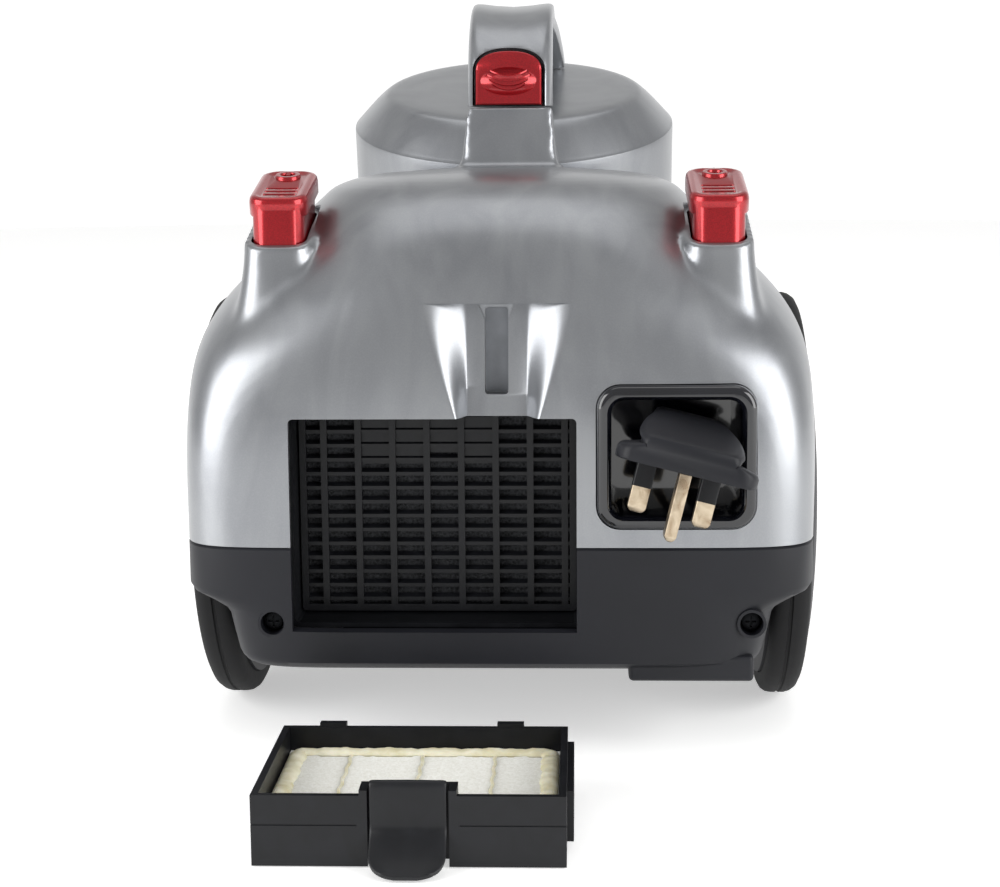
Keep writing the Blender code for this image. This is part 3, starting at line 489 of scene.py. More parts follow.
def makeHousingTop():
    shell = loft("housingTop", domeLevels(0, 70.0))
    ridge = loft("ridge", [[(a, c, z), (b, c, z), (b, d, z), (a, d, z)] for a, b, c, d, z in housing["ridge"]])
    weld(shell, ridge, *[loft("tower", towerRings(side * pedalAt)) for side in (-1, 1)])
    useModifier(shell, "REMESH", mode="VOXEL", voxel_size=housing["voxel"], adaptivity=0.0)
    useModifier(shell, "SMOOTH", factor=0.5, iterations=5)
    smoothNear(shell, filletWeight, 34)
    cavity = loft("cavity", domeLevels(housing["wall"], housing["split"] - 8, 16, 18))
    binWall = rod("binWall", dustBin["cradle"] + housing["wall"], (-240, 60), inBin, 96)
    keepBack = [block("keepBack", (-29.4, 32.6), (-108, -90.4), (119.4, 164.6)),
                block("keepPlate", (-16.3, 17.1), (-106, -80.4), (123.0, 167.3))]
    cut(cavity, *wells(wheel["well"] + housing["wall"], wheel["wellFrom"] - housing["wall"]), binWall, *keepBack)
    cut(shell, cavity, block("below", (-130, 130), (-130, 300), (0, housing["split"] + 0.15)))
    cradle = rod("cradle", dustBin["cradle"], (-240, 60), inBin, 128)
    door = push("door", roundBox((bay["left"], bay["right"]), (bay["low"], bay["high"]), 1.6, 5), "y", (-112, -84))
    bezelHole = push("bezelHole", roundBox((33.7, 88.3), (82.7, 132.3), 8.3), "y", (-112, -86))
    slot = push("slot", roundBox((-4, 4), (128, 158), 1.2, 5), "y", (-100, -84.6))
    notch = loft("notch", [[(-half, -96, z), (half, -96, z), (half, -86.2, z), (-half, -86.2, z)] for half, z in ((4, 153.2), (6.2, 158.4))])
    stems = [push("stem", roundBox((x - 9.8, x + 9.8), (pedalBack - 20.5, pedalBack + 19.5), 6), "z", (120, 230)) for x in (-pedalAt, pedalAt)]
    presses = [turnedBy(push("press", roundBox((-11, 11), (-22.8, 21), 7), "z", (-13.2, 12)), padLean(x)) for x in (-pedalAt, pedalAt)]
    stubs = [rod("stub", 4.3, (80, 92), alongX(0, 0, wheel["radius"], left), 24) for left in (True, False)]
    cut(shell, cradle, *wells(wheel["well"], wheel["wellFrom"]), door, bezelHole, parkFunnel(), slot, notch, *stems, *presses, *stubs)
    return fit(shell, "machine", "silver_abs", "upper_housing", sharp=40)


def makeHousingBase():
    rows = [  # height, half width at rear and front, reach at rear and nose
        (26, 80, 80, 62, 226), (26.6, 81.6, 83, 66.5, 230), (28, 84, 88, 73, 236), (30.4, 87.6, 93, 85.5, 240.5),
        (32.6, 90.6, 96.6, 95.4, 242.8), (34, 91.8, 97.6, 98.8, 243.1), (35.6, 92.8, 98.7, 100.5, 243.4), (37.4, 93.6, 99.6, 101, 243.7),
        (44, 95.2, 102.2, 101, 244.4), (50.5, 96.7, 104.6, 101, 245), (53, 98.4, 105.6, 101, 245), (56, 103.6, 108, 101, 245),
        (58.8, 109.4, 110.6, 101, 245), (61, 110.8, 110.8, 101, 245), (housing["split"] - 0.9, 110.8, 110.8, 101, 245),
        (housing["split"] - 0.15, 110.2, 110.2, 100.4, 244.4)]
    levels = [plan(rear, front, back, nose, z) for z, rear, front, back, nose in rows]
    shell = loft("housingBase", levels)
    inside = [plan(rear - 2.6, front - 2.6, back - 2.6, nose - 2.6, z + 2.6 * (z < 34.5), 18) for z, rear, front, back, nose in rows[::2]]
    inside.append([(x, y, 84) for x, y, _ in inside[-1]])
    cavity = loft("baseCavity", inside)
    cut(cavity, *wells(wheel["well"] + housing["wall"], wheel["wellFrom"] - housing["wall"]))
    cut(shell, cavity)
    bulge = easeEdges(block("bulge", (45, 88), (-98.6, -40), (28.8, 38)), 1.6, 4)
    bosses = [rod("boss", 5.0, (-99.5, -80), alongY(x, 0, 49.5), 32) for x in (-78, 87)]
    weld(shell, bulge)
    cut(shell, block("bulgeHollow", (47.6, 85.4), (-94.9, -42), (31.4, 42)))
    weld(shell, *bosses)
    holes = []
    for x in (-78.0, 87.0):
        holes.append(lathe("headHole", [(0, -112), (5.6, -112), (5.0, -101.5), (4.0, -99.6), (4.0, -92), (0, -92)], alongY(x, 0, 49.5), 40))
        holes.append(rod("shankHole", 2.1, (-93, -79), alongY(x, 0, 49.5), 16))
    door = push("door", roundBox((bay["left"], bay["right"]), (bay["low"], bay["high"]), 1.6, 5), "y", (-112, -84))
    low = bay["low"]
    slope = [(-104, low - 2.2), (-97.2, low + 0.05), (-97.2, low + 2.4), (-104, low + 2.4)]
    leadIn = push("leadIn", slope, "x", (bay["left"], bay["right"]))
    swivel = rod("swivel", 4.4, (20, 40), Matrix.Translation((0, 205, 0)), 32)
    stubs = [rod("stub", 4.3, (80, 92), alongX(0, 0, wheel["radius"], left), 24) for left in (True, False)]
    cut(shell, *wells(wheel["well"], wheel["wellFrom"]), door, swivel, *stubs, *holes, leadIn)
    return fit(shell, "machine", "black_abs", "lower_housing", sharp=30)


housingTop = makeHousingTop()
housingBase = makeHousingBase()
print("housing made:", len(housingTop.data.polygons), "and", len(housingBase.data.polygons), "faces")


# Filter bay: an open box in the rear with a louvred grille at its back.
grille = {"ribPitch": 12.14, "firstRib": -62.0, "ribs": 8, "ribWidth": 2.3, "louvrePitch": 5.02, "firstLouvre": 52.6, "louvres": 13}


def makeGrille():
    x0, x1, z0, z1 = bay["left"] + 0.2, bay["right"] - 0.2, bay["low"] + 0.2, bay["high"] - 0.2
    border = push("exhaustGrille", roundBox((x0, x1), (z0, z1), 1.2, 3), "y", (-75, -72.2))
    cut(border, block("borderHole", (x0 + 2.3, x1 - 2.3), (-80, -70), (z0 + 2.4, z1 - 2.4)))
    parts = []
    for i in range(grille["ribs"]):
        middle = grille["firstRib"] + grille["ribPitch"] * i
        parts.append(block("rib", (middle - grille["ribWidth"] / 2, middle + grille["ribWidth"] / 2), (-75.0, -72.25), (z0 + 1, z1 - 1)))
    for i in range(grille["louvres"]):
        z = grille["firstLouvre"] + grille["louvrePitch"] * i
        parts.append(push("louvre", [(-74.4, z - 0.9), (-72.5, z + 0.2), (-72.5, z + 1.5), (-74.4, z + 0.4)], "x", (x0 + 1, x1 - 1)))
    for column, low in ((1, 101.0), (2, 101.0), (3, 105.0), (4, 101.0)):  # blanked cells
        left = grille["firstRib"] + grille["ribPitch"] * column
        parts.append(block("plate", (left - 0.5, left + grille["ribPitch"] + 0.5), (-73.4, -72.4), (low, 117.6)))
    weld(border, *parts)
    return fit(border, "machine", "inner_black", "exhaust_grille", sharp=25)


# Mains plug parked in a glossy recess.
bezel = {"x": (34.0, 88.0), "z": (83.0, 132.0), "corner": 8.0}
plug = {"root": Vector((61.9, -105.8, 104.6)), "roll": 14.3, "lean": 6.0, "pinsApart": 11.1, "earthOut": 22.2}


def makeBezel():
    (x0, x1), (z0, z1) = bezel["x"], bezel["z"]
    rings = []
    for depth, grow in ((-96, 0.0), (-100.6, 0.0), (-101.6, -0.25), (-102.3, -0.8), (-102.7, -1.7), (-102.8, -2.6)):
        rings.append(uprightRing((x0 - grow, x1 + grow), depth, (z0 - grow, z1 + grow), bezel["corner"] + grow, 12))
    face = loft("plugBezel", rings)
    tub = push("tub", roundBox((x0 + 3, x1 - 3), (z0 + 2, z1 - 3), 6), "y", (-97, -72))
    weld(face, tub)
    mouth = []
    for depth, grow in ((-110, 1.6), (-102.9, 1.6), (-102.4, 0.9), (-101.4, 0.25), (-100, 0.0), (-74, 0.0)):
        mouth.append(uprightRing((x0 + 5 - grow, x1 - 5 + grow), depth, (z0 + 4.5 - grow, z1 - 5 + grow), 4.5 + grow, 10))
    cut(face, loft("mouth", mouth), rod("aperture", 4.4, (-80, -60), alongY(61.9, 0, 111.5)))
    return fit(face, "machine", "gloss_black_abs", "plug_bezel", sharp=30)


def plugFrame():
    roll, lean = math.radians(plug["roll"]), math.radians(plug["lean"])
    across = Vector((math.cos(roll), 0, -math.sin(roll)))
    pins = Vector((-math.sin(roll) * math.cos(lean), -math.sin(lean), -math.cos(roll) * math.cos(lean)))
    out = pins.cross(across).normalized()
    out = -out if out.y > 0 else out
    return Matrix.Translation(plug["root"]) @ Matrix((across, out, -pins)).transposed().to_4x4()


def makePlug():
    at = plugFrame()
    rings = []
    rows = between([  # reach towards the earth pin, half widths of the base, the waist and the back, height
        (-17.5, 12.4, 8.0, 9.0, 16.6), (-16, 14.5, 10.0, 11.0, 18.0), (-12, 17.3, 11.4, 12.6, 18.6), (-5, 18.6, 11.6, 13.4, 17.8),
        (2, 19.6, 12.2, 14.8, 16.6), (9, 22.2, 14.4, 16.8, 14.8), (17, 23.4, 15.8, 18.0, 12.6), (24, 23.4, 16.4, 18.0, 10.9),
        (28, 21.6, 15.6, 16.6, 9.9), (29.4, 19.4, 14.4, 15.2, 9.2)], 4)
    for reach, base, waist, back, tall in rows:
        side = [(base - 0.9, 0.0), (base - 0.2, 0.3), (base, 1.0), (base, 3.6), (base - 0.5, 4.6), (base - 1.6, 5.4), (waist + 0.9, 6.6),
                (waist, tall * 0.55), (waist + 0.4, tall * 0.74), (back - 0.5, tall - 2.0), (back - 1.0, tall - 0.8),
                (back - 2.4, tall - 0.1), (back * 0.5, tall + 0.05)]
        rings.append([(u, reach, v) for u, v in side] + [(-u, reach, v) for u, v in reversed(side)])
    body = turnedBy(easeEdges(loft("plugBody", rings), 0.5, 2, 50), at)
    cut(body, rod("leadHole", 3.5, (-96, -60), alongY(61.9, 0, 111.5)))
    fit(body, "plug", "black_abs", "plug_body", sharp=42)
    for name, node, x, y, wide, thick, length, sleeve in (
            ("plugPinLive", "plug_pin_live", plug["pinsApart"], 0.0, 6.35, 4.0, 17.7, 9.0),
            ("plugPinNeutral", "plug_pin_neutral", -plug["pinsApart"], 0.0, 6.35, 4.0, 17.7, 9.0),
            ("plugPinEarth", "plug_pin_earth", 0.0, plug["earthOut"], 4.0, 8.0, 22.7, 0.0)):
        a, b = wide / 2, thick / 2
        rings = []
        for z, s in ((-0.3, 0.0), (-length + 1.8, 0.0), (-length + 0.9, 0.35), (-length + 0.3, 0.9), (-length, 1.5)):
            rings.append(levelRing((x - a + s, x + a - s), (y - b + s, y + b - s), z, 0.45, 3))
        pin = turnedBy(loft(name, rings), at)
        fit(pin, "plug", "plated_brass", node, sharp=30)
        if sleeve:  # insulated root
            rings = []
            for z, gap, radius in ((-0.3, 0.12, 0.6), (-sleeve, 0.12, 0.6), (-sleeve, 0.02, 0.5), (-0.3, 0.02, 0.5)):
                rings.append(levelRing((x - a - gap, x + a + gap), (y - b - gap, y + b + gap), z, radius, 3))
            fit(turnedBy(loft(name + "Sleeve", rings, closed=True), at), "plug", "inner_black")


# Wheels: black discs in rubber tyres, and the swivelling caster under the nose.


def makeWheels():
    for mirrored, side in ((True, "left"), (False, "right")):
        body = "wheel_" + side[0]
        at = alongX(0, 0, wheel["radius"], mirrored)
        disc = [(4.08, 90.5), (12, 90.5), (12, 97), (62, 99), (64, 95.5), (69.5, 96), (69.5, 110.4), (68.8, 111.2), (66.4, 112.0), (62, 112.9)]
        disc += [(57.5, 113.6), (56.6, 112.9), (55.4, 112.9), (54.5, 114.0), (50, 114.5), (45, 114.8), (34, 115.3), (20, 115.7)]
        disc += [(0, 115.8), (0, 104.5), (4.08, 104.5)]
        made = lathe("wheelDisc" + side.title(), disc, at, 160)
        fit(made, body, "black_abs", "wheel_" + side, sharp=30)
        tread = [(69.8, 97), (74.5, 97), (76.2, 97.9), (77.1, 99.3), (77.4, 101), (77.4, 102.6), (76.8, 103), (76.8, 103.8)]
        tread += [(77.4, 104.2), (77.4, 106), (76.9, 107.8), (75.6, 109.6), (73.6, 110.6), (69.8, 110.8)]
        fit(lathe("tyre" + side.title(), tread, at, 160), body, "rubber", "tyre_" + side, sharp=30)
        cap = [(0, 116.1), (17, 116.1), (17, 116.5), (16, 117.1), (13, 117.6), (9, 117.8), (8.4, 117.4), (7.6, 117.4), (7, 117.9), (0, 118)]
        fit(lathe("hubcap" + side.title(), cap, at, 64), body, "grey_abs", "hubcap_" + side, sharp=25)


def makeCaster():
    fork = push("casterFork", roundBox((-11.5, 11.5), (190, 211), 5), "z", (22.2, 25.6))
    cheeks = [push("cheek", roundBox((191, 206), (6, 23), 5), "x", sorted((side * 8.6, side * 11.3))) for side in (-1, 1)]
    weld(fork, *cheeks, rod("stem", 4.0, (25, 40), Matrix.Translation((0, 205, 0))))
    cut(fork, rod("axleHole", 2.2, (-20, 20), alongX(0, 197.5, 10.8), 32))
    fit(easeEdges(fork, 0.5), "caster_swivel_body", "black_abs", "caster_fork")
    half = [(2.08, -8.2), (9.6, -8.2), (10.4, -7.6), (10.8, -6.4), (10.8, -1.2), (10.3, -0.8)]
    profile = half + [(radius, -height) for radius, height in reversed(half)]
    fit(lathe("casterTyre", profile, alongX(0, 197.5, 10.8), 72), "caster_wheel_body", "rubber", "caster_wheel")


# Foot pedals: a leaning pad on a square stem.
pedal = {"halfWide": 10.4, "halfLong": 20.4, "corner": 7.0}


def makePedals():
    for x, job in ((-pedalAt, "power"), (pedalAt, "rewind")):
        rings = []
        edge = [(-6.4, -1.0), (-6.1, -0.4), (-5.5, 0.0), (-1.2, 0.0), (0.2, -0.3), (0.9, -0.9), (1.2, -1.9), (1.2, -2.9), (0.6, -4.0)]
        for z, grow in edge:
            wide, long = pedal["halfWide"] + grow, pedal["halfLong"] + grow
            rings.append(levelRing((-wide, wide), (-long, long), z, pedal["corner"] + grow, 12))
        pad = turnedBy(loft(job + "Pedal", rings), padLean(x))
        stem = push("stem", roundBox((x - 9.1, x + 9.1), (pedalBack - 19.4, pedalBack + 19), 5.6, 10), "z", (151, 197))
        cut(stem, turnedBy(block("trim", (-20, 20), (-40, 40), (-3.0, 30)), padLean(x)))
        rim = [(2.6, -0.4), (4.6, -0.4), (4.6, 1.5), (4.3, 1.9), (2.9, 1.9), (2.6, 1.5)]
        ringMark = lathe("mark", rim, padLean(x) @ Matrix.Translation((0, 11, 0)), 40)
        weld(pad, stem, ringMark)
        if x < 0:
            mark = block("tick", (-0.7, 0.7), (11, 16.2), (-0.2, 1.7))
        else:
            mark = loft("arrow", [[(-2.2, 14.6, z), (2.2, 14.6, z), (0, 17.0, z)] for z in (-0.2, 1.7)])
        weld(pad, turnedBy(mark, padLean(x)))
        grips = []
        for i in range(3):
            outline = roundBox((-5.8, 5.8), (-13.4 + 4.2 * i, -11.4 + 4.2 * i), 0.9, 4)
            grips.append(turnedBy(push("grip", outline, "z", (-0.5, 6)), padLean(x)))
        cut(pad, *grips)
        fit(easeEdges(pad, 0.35, 2, 45), job + "_pedal_body", "red_abs", job + "_pedal", sharp=38)


# Dust bin: clear jar, cyclone, silver lid with its carrying handle and red catch.
lid = {"crown": (  # radius and height, from the skirt over the rim to the flat top
    (68.5, -20), (68.5, -8), (68.5, -0.4), (67.9, 0.9), (65.9, 3.2), (62.8, 6.6), (59.2, 10.3), (56.0, 13.1), (53.6, 14.5), (50.5, 15.0))}
handle = {"middle": 1.3, "half": 16.6, "path": (
    # y, z, direction the strap runs in degrees above +Y, thickness
    (31.0, 226.3, 90.0, 34.0), (33.0, 238.0, 82.0, 31.0), (39.0, 249.0, 64.0, 23.0), (51.0, 258.5, 36.0, 14.0), (66.0, 264.0, 14.0, 9.5),
    (84.0, 266.0, 0.0, 8.5), (104.0, 264.5, -10.0, 8.5), (122.0, 259.5, -24.0, 9.0), (136.0, 252.0, -36.0, 10.5), (142.5, 246.6, -42.0, 12.5))}
catch = {"left": -11.8, "right": 13.8, "low": 226.6, "shoulder": 240.0, "arch": 7.4, "gap": 1.3}


def makeBin():
    top, floor, r = -8.0, -dustBin["depth"], dustBin["radius"]
    wall = [(0, floor), (r - 4, floor), (r - 1.6, floor + 0.7), (r - 0.4, floor + 2), (r, floor + 4), (r, top - 0.6), (r - 0.5, top)]
    wall += [(r - 1.5, top), (r - 2, top - 0.6), (r - 2, floor + 5), (r - 3, floor + 3), (r - 5, floor + 2.2), (0, floor + 2.2)]
    jar = lathe("binShell", wall, inBin, 128)
    portAt = inBin @ alongY(0, 0, dustBin["port"])
    cut(jar, rod("portHole", 19.3, (40, 90), portAt))
    fit(jar, "bin", "clear_polycarbonate", "bin_shell", sharp=30)
    port = [(16.5, 61), (19, 61), (19, 68.5), (24, 69.5), (24, 71.4), (23.4, 72), (19.9, 73.4), (19.5, 74.4), (19.5, 90.8)]
    port += [(18.9, 92), (17.1, 92), (16.5, 91.4)]
    fit(lathe("hosePort", port, portAt, 96), "bin", "grey_abs", "hose_port", sharp=30)
    for name, node, finish, steps, profile in (
            ("meshShroud", "mesh_shroud", "mesh_steel", 112, [(31.6, -74), (34, -74), (34, -14), (60.8, -14), (60.8, -11.5), (31.6, -11.5)]),
            ("cycloneCone", "cyclone_cone", "grey_abs", 96,
             [(26.5, -74.3), (34, -74.3), (34, -80), (30, -82), (14, -150), (11.5, -150), (26.5, -84)]),
            ("vortexFinder", "vortex_finder", "grey_abs", 72, [(11.6, -60), (14, -60), (14, 12.1), (11.6, 12.1)]),
            ("lidSeal", "lid_seal", "rubber", 112, [(61.5, -7.7), (65.9, -7.7), (65.9, -4.5), (61.5, -4.5)])):
        fit(lathe(name, profile, inBin, steps), "lid", finish, node, sharp=30)


def makeLid():
    bore = dustBin["radius"] + 0.3
    profile = [(bore, -26), (68.1, -26), (68.5, -25.4)] + between(lid["crown"], 3)
    profile += [(44, 15), (0, 15), (0, 12.4), (50, 12.4), (53.5, 11.0), (57.2, 7.8), (61, 3.8), (64.2, 0.4), (bore, -2.4)]
    top = lathe("binLid", profile, inBin, 160)
    cut(top, rod("portGap", 25, (40, 90), inBin @ alongY(0, 0, dustBin["port"]), 96))
    return fit(top, "lid", "silver_abs", "bin_lid", sharp=30)


def archOutline(left, right, low, shoulder, arch, steps=24):
    middle, half = (left + right) / 2, (right - left) / 2
    curve = []
    for a in [math.pi * i / steps for i in range(1, steps)]:
        curve.append((middle + half * math.copysign(abs(math.cos(a)) ** 0.85, math.cos(a)), shoulder + arch * math.sin(a) ** 0.9))
    return [(left, low), (right, low), (right, shoulder)] + curve + [(left, shoulder)]


def makeHandle():
    rings = []
    for y, z, heading, thick in between(handle["path"], 8):
        angle = math.radians(heading)
        up = Vector((0, -math.sin(angle), math.cos(angle)))
        half = handle["half"] + max(0.0, y - 110) * 0.12
        line = []
        for i in range(40):
            a = 2 * math.pi * i / 40
            u = math.copysign(abs(math.cos(a)) ** 0.42, math.cos(a))
            v = 0.5 * math.copysign(abs(math.sin(a)) ** 0.5, math.sin(a))
            if v > 0:
                v -= (0.13 + 0.17 * min(1.0, max(0.0, (88 - heading) / 50))) * (1 - u * u) * min(1.0, 9.0 / thick)
            line.append(Vector((handle["middle"] + u * half, y, z)) + up * (v * thick))
        rings.append(line)
    strap = loft("carryHandle", rings)
    seat = turnedBy(block("seat", (-60, 60), (-90, 90), (-60, 15.3)), inBin)
    flat = block("flat", (-60, 60), (-40, 200), (180, 226.2))
    gap = catch["gap"]
    pocket = push("pocket", archOutline(catch["left"] - gap, catch["right"] + gap, 222, catch["shoulder"], catch["arch"] + gap), "y", (0, 33))
    cut(strap, seat, flat, pocket)
    fit(easeEdges(strap, 0.5, 2, 50), "lid", "silver_abs", "carry_handle", sharp=40)


def makeCatch():
    outline = archOutline(catch["left"], catch["right"], catch["low"], catch["shoulder"], catch["arch"])
    middle = (catch["left"] + catch["right"]) / 2
    rings = []
    for depth, shrink in ((14.0, 0.94), (14.5, 0.985), (16.0, 1.0), (29.2, 1.0)):
        sloped = 0.24 if depth < 20 else 0.0
        rings.append([(middle + (x - middle) * shrink, depth + (z - 226) * sloped, 237 + (z - 237) * shrink) for x, z in outline])
    button = loft("releaseButton", rings)
    globe = [(0, -1)] + [(math.sin(math.pi * k / 24), -math.cos(math.pi * k / 24)) for k in range(1, 24)] + [(0, 1)]
    scoopY, scoopZ, reach = 11.6, 236.6, (13.6, 8.0, 7.0)
    scoop = lathe("scoop", globe, Matrix.Translation((middle, scoopY, scoopZ)) @ Matrix.Diagonal((*reach, 1)), 64)
    cut(button, scoop)
    ridges = []
    for i in range(4):  # grip lines that hang in arcs across the scoop
        half, ring = 8.2 - 1.1 * abs(i - 2), []
        for t in [k / 10 - 1 for k in range(21)]:
            u, v = half * t, -3.9 + 1.7 * i + 2.0 * t * t
            y = scoopY + reach[1] * math.sqrt(max(0.05, 1 - (u / reach[0]) ** 2 - (v / reach[2]) ** 2))
            ring.append([(middle + u, y + dy, scoopZ + v + dz) for dy, dz in ((-0.5, -0.26), (-0.5, 0.26), (0.9, 0.26), (0.9, -0.26))])
        ridges.append(loft("ridge", ring))
    weld(button, *ridges)
    fit(button, "button", "red_abs", "release_button", sharp=35)


# Nose strip and screws.
def makeTrim():
    inner, outer = [], []
    for i in range(65):
        angle = math.radians(35 + 110 * i / 64)
        c, s = math.cos(angle), math.sin(angle)
        x, y = math.copysign(abs(c) ** (2 / 2.6), c), abs(s) ** (2 / 2.6)
        inner.append((x * 112.0, y * (housing["nose"] + 1.0)))
        outer.append((x * 114.8, y * (housing["nose"] + 4.2)))
    fit(easeEdges(push("noseBumper", inner + outer[::-1], "z", (61, 71)), 1.0, 3, 40), "machine", "rubber", "nose_bumper", sharp=35)
    for x, side in ((-78.0, "left"), (87.0, "right")):
        head = [(0, -95.6), (2.2, -95.55), (3.1, -95.2), (3.5, -94.6), (3.5, -92.3), (1.9, -92.3), (1.9, -81), (0, -81)]
        screw = lathe("housingScrew" + side.title(), head, alongY(x, 0, 49.5), 40)
        flat, upright = [block("cross", (x - a, x + a), (-97, -94.3), (49.5 - b, 49.5 + b)) for a, b in ((2.0, 0.4), (0.4, 2.0))]
        cut(screw, weld(flat, upright))
        fit(screw, "machine", "black_steel", "housing_screw_" + side)


# Exhaust filter cassette, laid on the floor behind the machine.
cassette = {"x": (-70.25, 24.25), "y": (-198.5, -127.4), "tall": 22.0, "pleats": 36}
clipFold = {"x": -23.0, "path": (  # y, z and half width, from the hook over the wall to the end of the tongue
    (-196.5, 25.7, 11.5), (-197.6, 25.2, 11.5), (-197.9, 22, 11.5), (-197.9, 17, 11.5), (-197.9, 12.4, 11.5), (-199.0, 10.0, 11.5),
    (-201.8, 7.2, 11.5), (-204.9, 4.6, 11.4), (-208.0, 2.6, 10.0), (-210.2, 1.5, 7.0), (-211.2, 1.1, 3.4))}


def makeCassetteFrame():
    (x0, x1), (y0, y1), tall = cassette["x"], cassette["y"], cassette["tall"]
    clipX = clipFold["x"]
    box = block("filterFrame", (x0, x1), (y0, y1 - 1.0), (0, tall))
    hollow = block("hollow", (x0 + 2.2, x1 - 2.2), (y0 + 2.2, y1 - 3.2), (-5, 40))
    cut(hollow, block("keep", (clipX - 14.6, clipX + 14.6), (y0 - 5, y0 + 8.7), (-6, 41)))
    parts = [block("wallUp", (clipX - 14.6, clipX + 14.6), (y0, y0 + 8.7), (0, tall + 1.6))]
    parts.append(block("flange", (x1 - 0.5, x1 + 2.1), (y0 + 14, y1 - 8), (3, 19)))
    for x in (-53.5, 5.3):
        parts.append(block("tab", (x - 4.4, x + 4.4), (y1 - 3.0, y1), (12, tall + 1.4)))
    weld(box, *parts)
    cut(box, hollow, block("clipPocket", (clipX - 12.2, clipX + 12.2), (y0 - 5, y0 + 6.7), (-5, 40)))
    seams = []
    for span in ((x0 - 3, clipX - 15.4), (clipX + 15.4, x1 + 3)):  # shallow parting groove along the front wall
        seams.append(block("seam", span, (y0 - 3, y0 + 0.35), (12.6, 13.2)))
    cut(box, *seams)
    fit(easeEdges(box, 0.45, 2, 40), "cassette", "inner_black", "filter_frame", sharp=35)


def makeFilterMedia():
    (x0, x1), (y0, y1) = cassette["x"], cassette["y"]
    left, right, near, far = x0 + 2.6, x1 - 2.6, y0 + 9.2, y1 - 3.6
    outline = [(near, 3.0), (far, 3.0), (far, 14.2), (far - 4, 14.2)]
    count = cassette["pleats"]
    for i in range(2 * count + 1):
        y = far - 4.5 + (near + 4.5 - (far - 4.5)) * i / (2 * count)
        outline.append((y, 11.4 if i % 2 == 0 else 14.2))
    outline += [(near + 4, 14.2), (near, 14.2)]
    fit(push("filterMedia", outline, "x", (left, right)), "cassette", "filter_paper", "filter_media", sharp=20)
    # A glue bead runs round the paper, and three thin lines of glue hold the pleats apart.
    rings, steps = [], 240
    corners = roundBox((left + 2.9, right - 2.9), (near + 2.6, far - 2.6), 3.0, 6)
    total, path = 0.0, []
    for a, b in zip(corners, corners[1:] + corners[:1]):
        length = math.dist(a, b)
        path.append((total, a, b, length))
        total += length
    for i in range(steps):
        reach = total * i / steps
        start, a, b, length = [p for p in path if p[0] <= reach][-1]
        t = (reach - start) / length
        x, y = a[0] + (b[0] - a[0]) * t, a[1] + (b[1] - a[1]) * t
        way = Vector((b[0] - a[0], b[1] - a[1], 0)).normalized()
        out = Vector((way.y, -way.x, 0))
        lump = 0.5 * math.sin(reach * 0.37) + 0.35 * math.sin(reach * 0.91 + 1.3) + 0.25 * math.sin(reach * 1.73 + 0.4)
        wide, high = 3.0 + 0.55 * lump, 1.5 + 0.4 * lump
        ring = []
        for k in [2 * math.pi * j / 14 for j in range(14)]:
            across = out * (min(2.7, wide) if math.cos(k) > 0 else wide) * math.cos(k)
            ring.append(Vector((x, y, 14.3)) + across + Vector((0, 0, high * max(-0.4, math.sin(k)))))
        rings.append(ring)
    bead = loft("glueBead", rings, closed=True)
    lines = []
    for i in range(3):
        x = x0 + 23.4 + 23.7 * i
        rings = []
        for y in [near + 3 + (far - near - 6) * k / 60 for k in range(61)]:
            drift = 0.25 * math.sin(y * 0.6)
            rings.append([(x + 0.55 * math.cos(a) + drift, y, 14.2 + 0.45 * math.sin(a)) for a in [2 * math.pi * j / 8 for j in range(8)]])
        lines.append(loft("glueLine", rings))
    fit(bead, "cassette", "glue")
    for i, line in enumerate(lines):
        line.name = "glueLine%d" % (i + 1)
        fit(line, "cassette", "glue")


def makeClip():
    middle = clipFold["x"]
    rows = between(clipFold["path"], 4)
    section = [(-1, -0.5), (-0.9, -0.5), (0.9, -0.5), (1, -0.5), (1, 0.3), (0.94, 0.5), (0.5, 0.56), (0, 0.6), (-0.5, 0.56)]
    section += [(-0.94, 0.5), (-1, 0.3)]
    rings = []
    for i, (y, z, half) in enumerate(rows):
        ahead, behind = rows[min(len(rows) - 1, i + 1)], rows[max(0, i - 1)]
        way = Vector((0, ahead[0] - behind[0], ahead[1] - behind[1])).normalized()
        out = Vector((0, way.z, -way.y))
        line = []
        for u, v in section:
            line.append(Vector((middle + u * half, y, z)) + out * (v * 1.3))
        rings.append(line)
    fit(easeEdges(loft("filterClip", rings), 0.2, 2, 50), "clip", "inner_black", "filter_clip", sharp=40)


makeGrille()
makeBezel()
makePlug()
# A grey plate laid in the bottom of the parking slot: painted shade, darker than the silver floor it covers, standing
# in for the shadow down in the slot.
fit(push("slotShadePlate", roundBox((-3.8, 3.8), (128.3, 157.2), 1.1, 5), "y", (-85.1, -84.7)), "machine", "grey_abs", "upper_housing")
print("rear bay, grille and plug made")
makeWheels()
makeCaster()
makePedals()
makeTrim()
print("wheels, caster, pedals and trim made")
makeBin()
makeLid()
makeHandle()
makeCatch()
print("bin, lid and handle made")
makeCassetteFrame()
makeFilterMedia()
makeClip()
print("cassette made")

# CAD parts whose shape is already right only take their finish.
kept = {
    "inner_black": ("filter_bay", "bin_dock", "motor_cradle", "filter_cover"),
    "grey_abs": ("power_switch", "reel_brake", "motor_fan", "cord_reel"),
    "steel": ("axle_left", "axle_right", "power_spring", "rewind_spring", "motor_can", "reel_bracket", "caster_axle"),
    "rubber": ("motor_mount_front", "motor_mount_rear"),
    "filter_foam": ("pre_motor_filter", "exhaust_foam"),
    "pvc_cord": ("wound_cord", "plug_lead"),
}
for finish, nodes in kept.items():
    for node in nodes:
        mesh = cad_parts[node].data
        mesh.materials.clear()
        mesh.materials.append(finishes[finish])
print("kept CAD parts finished:", sum(len(nodes) for nodes in kept.values()))


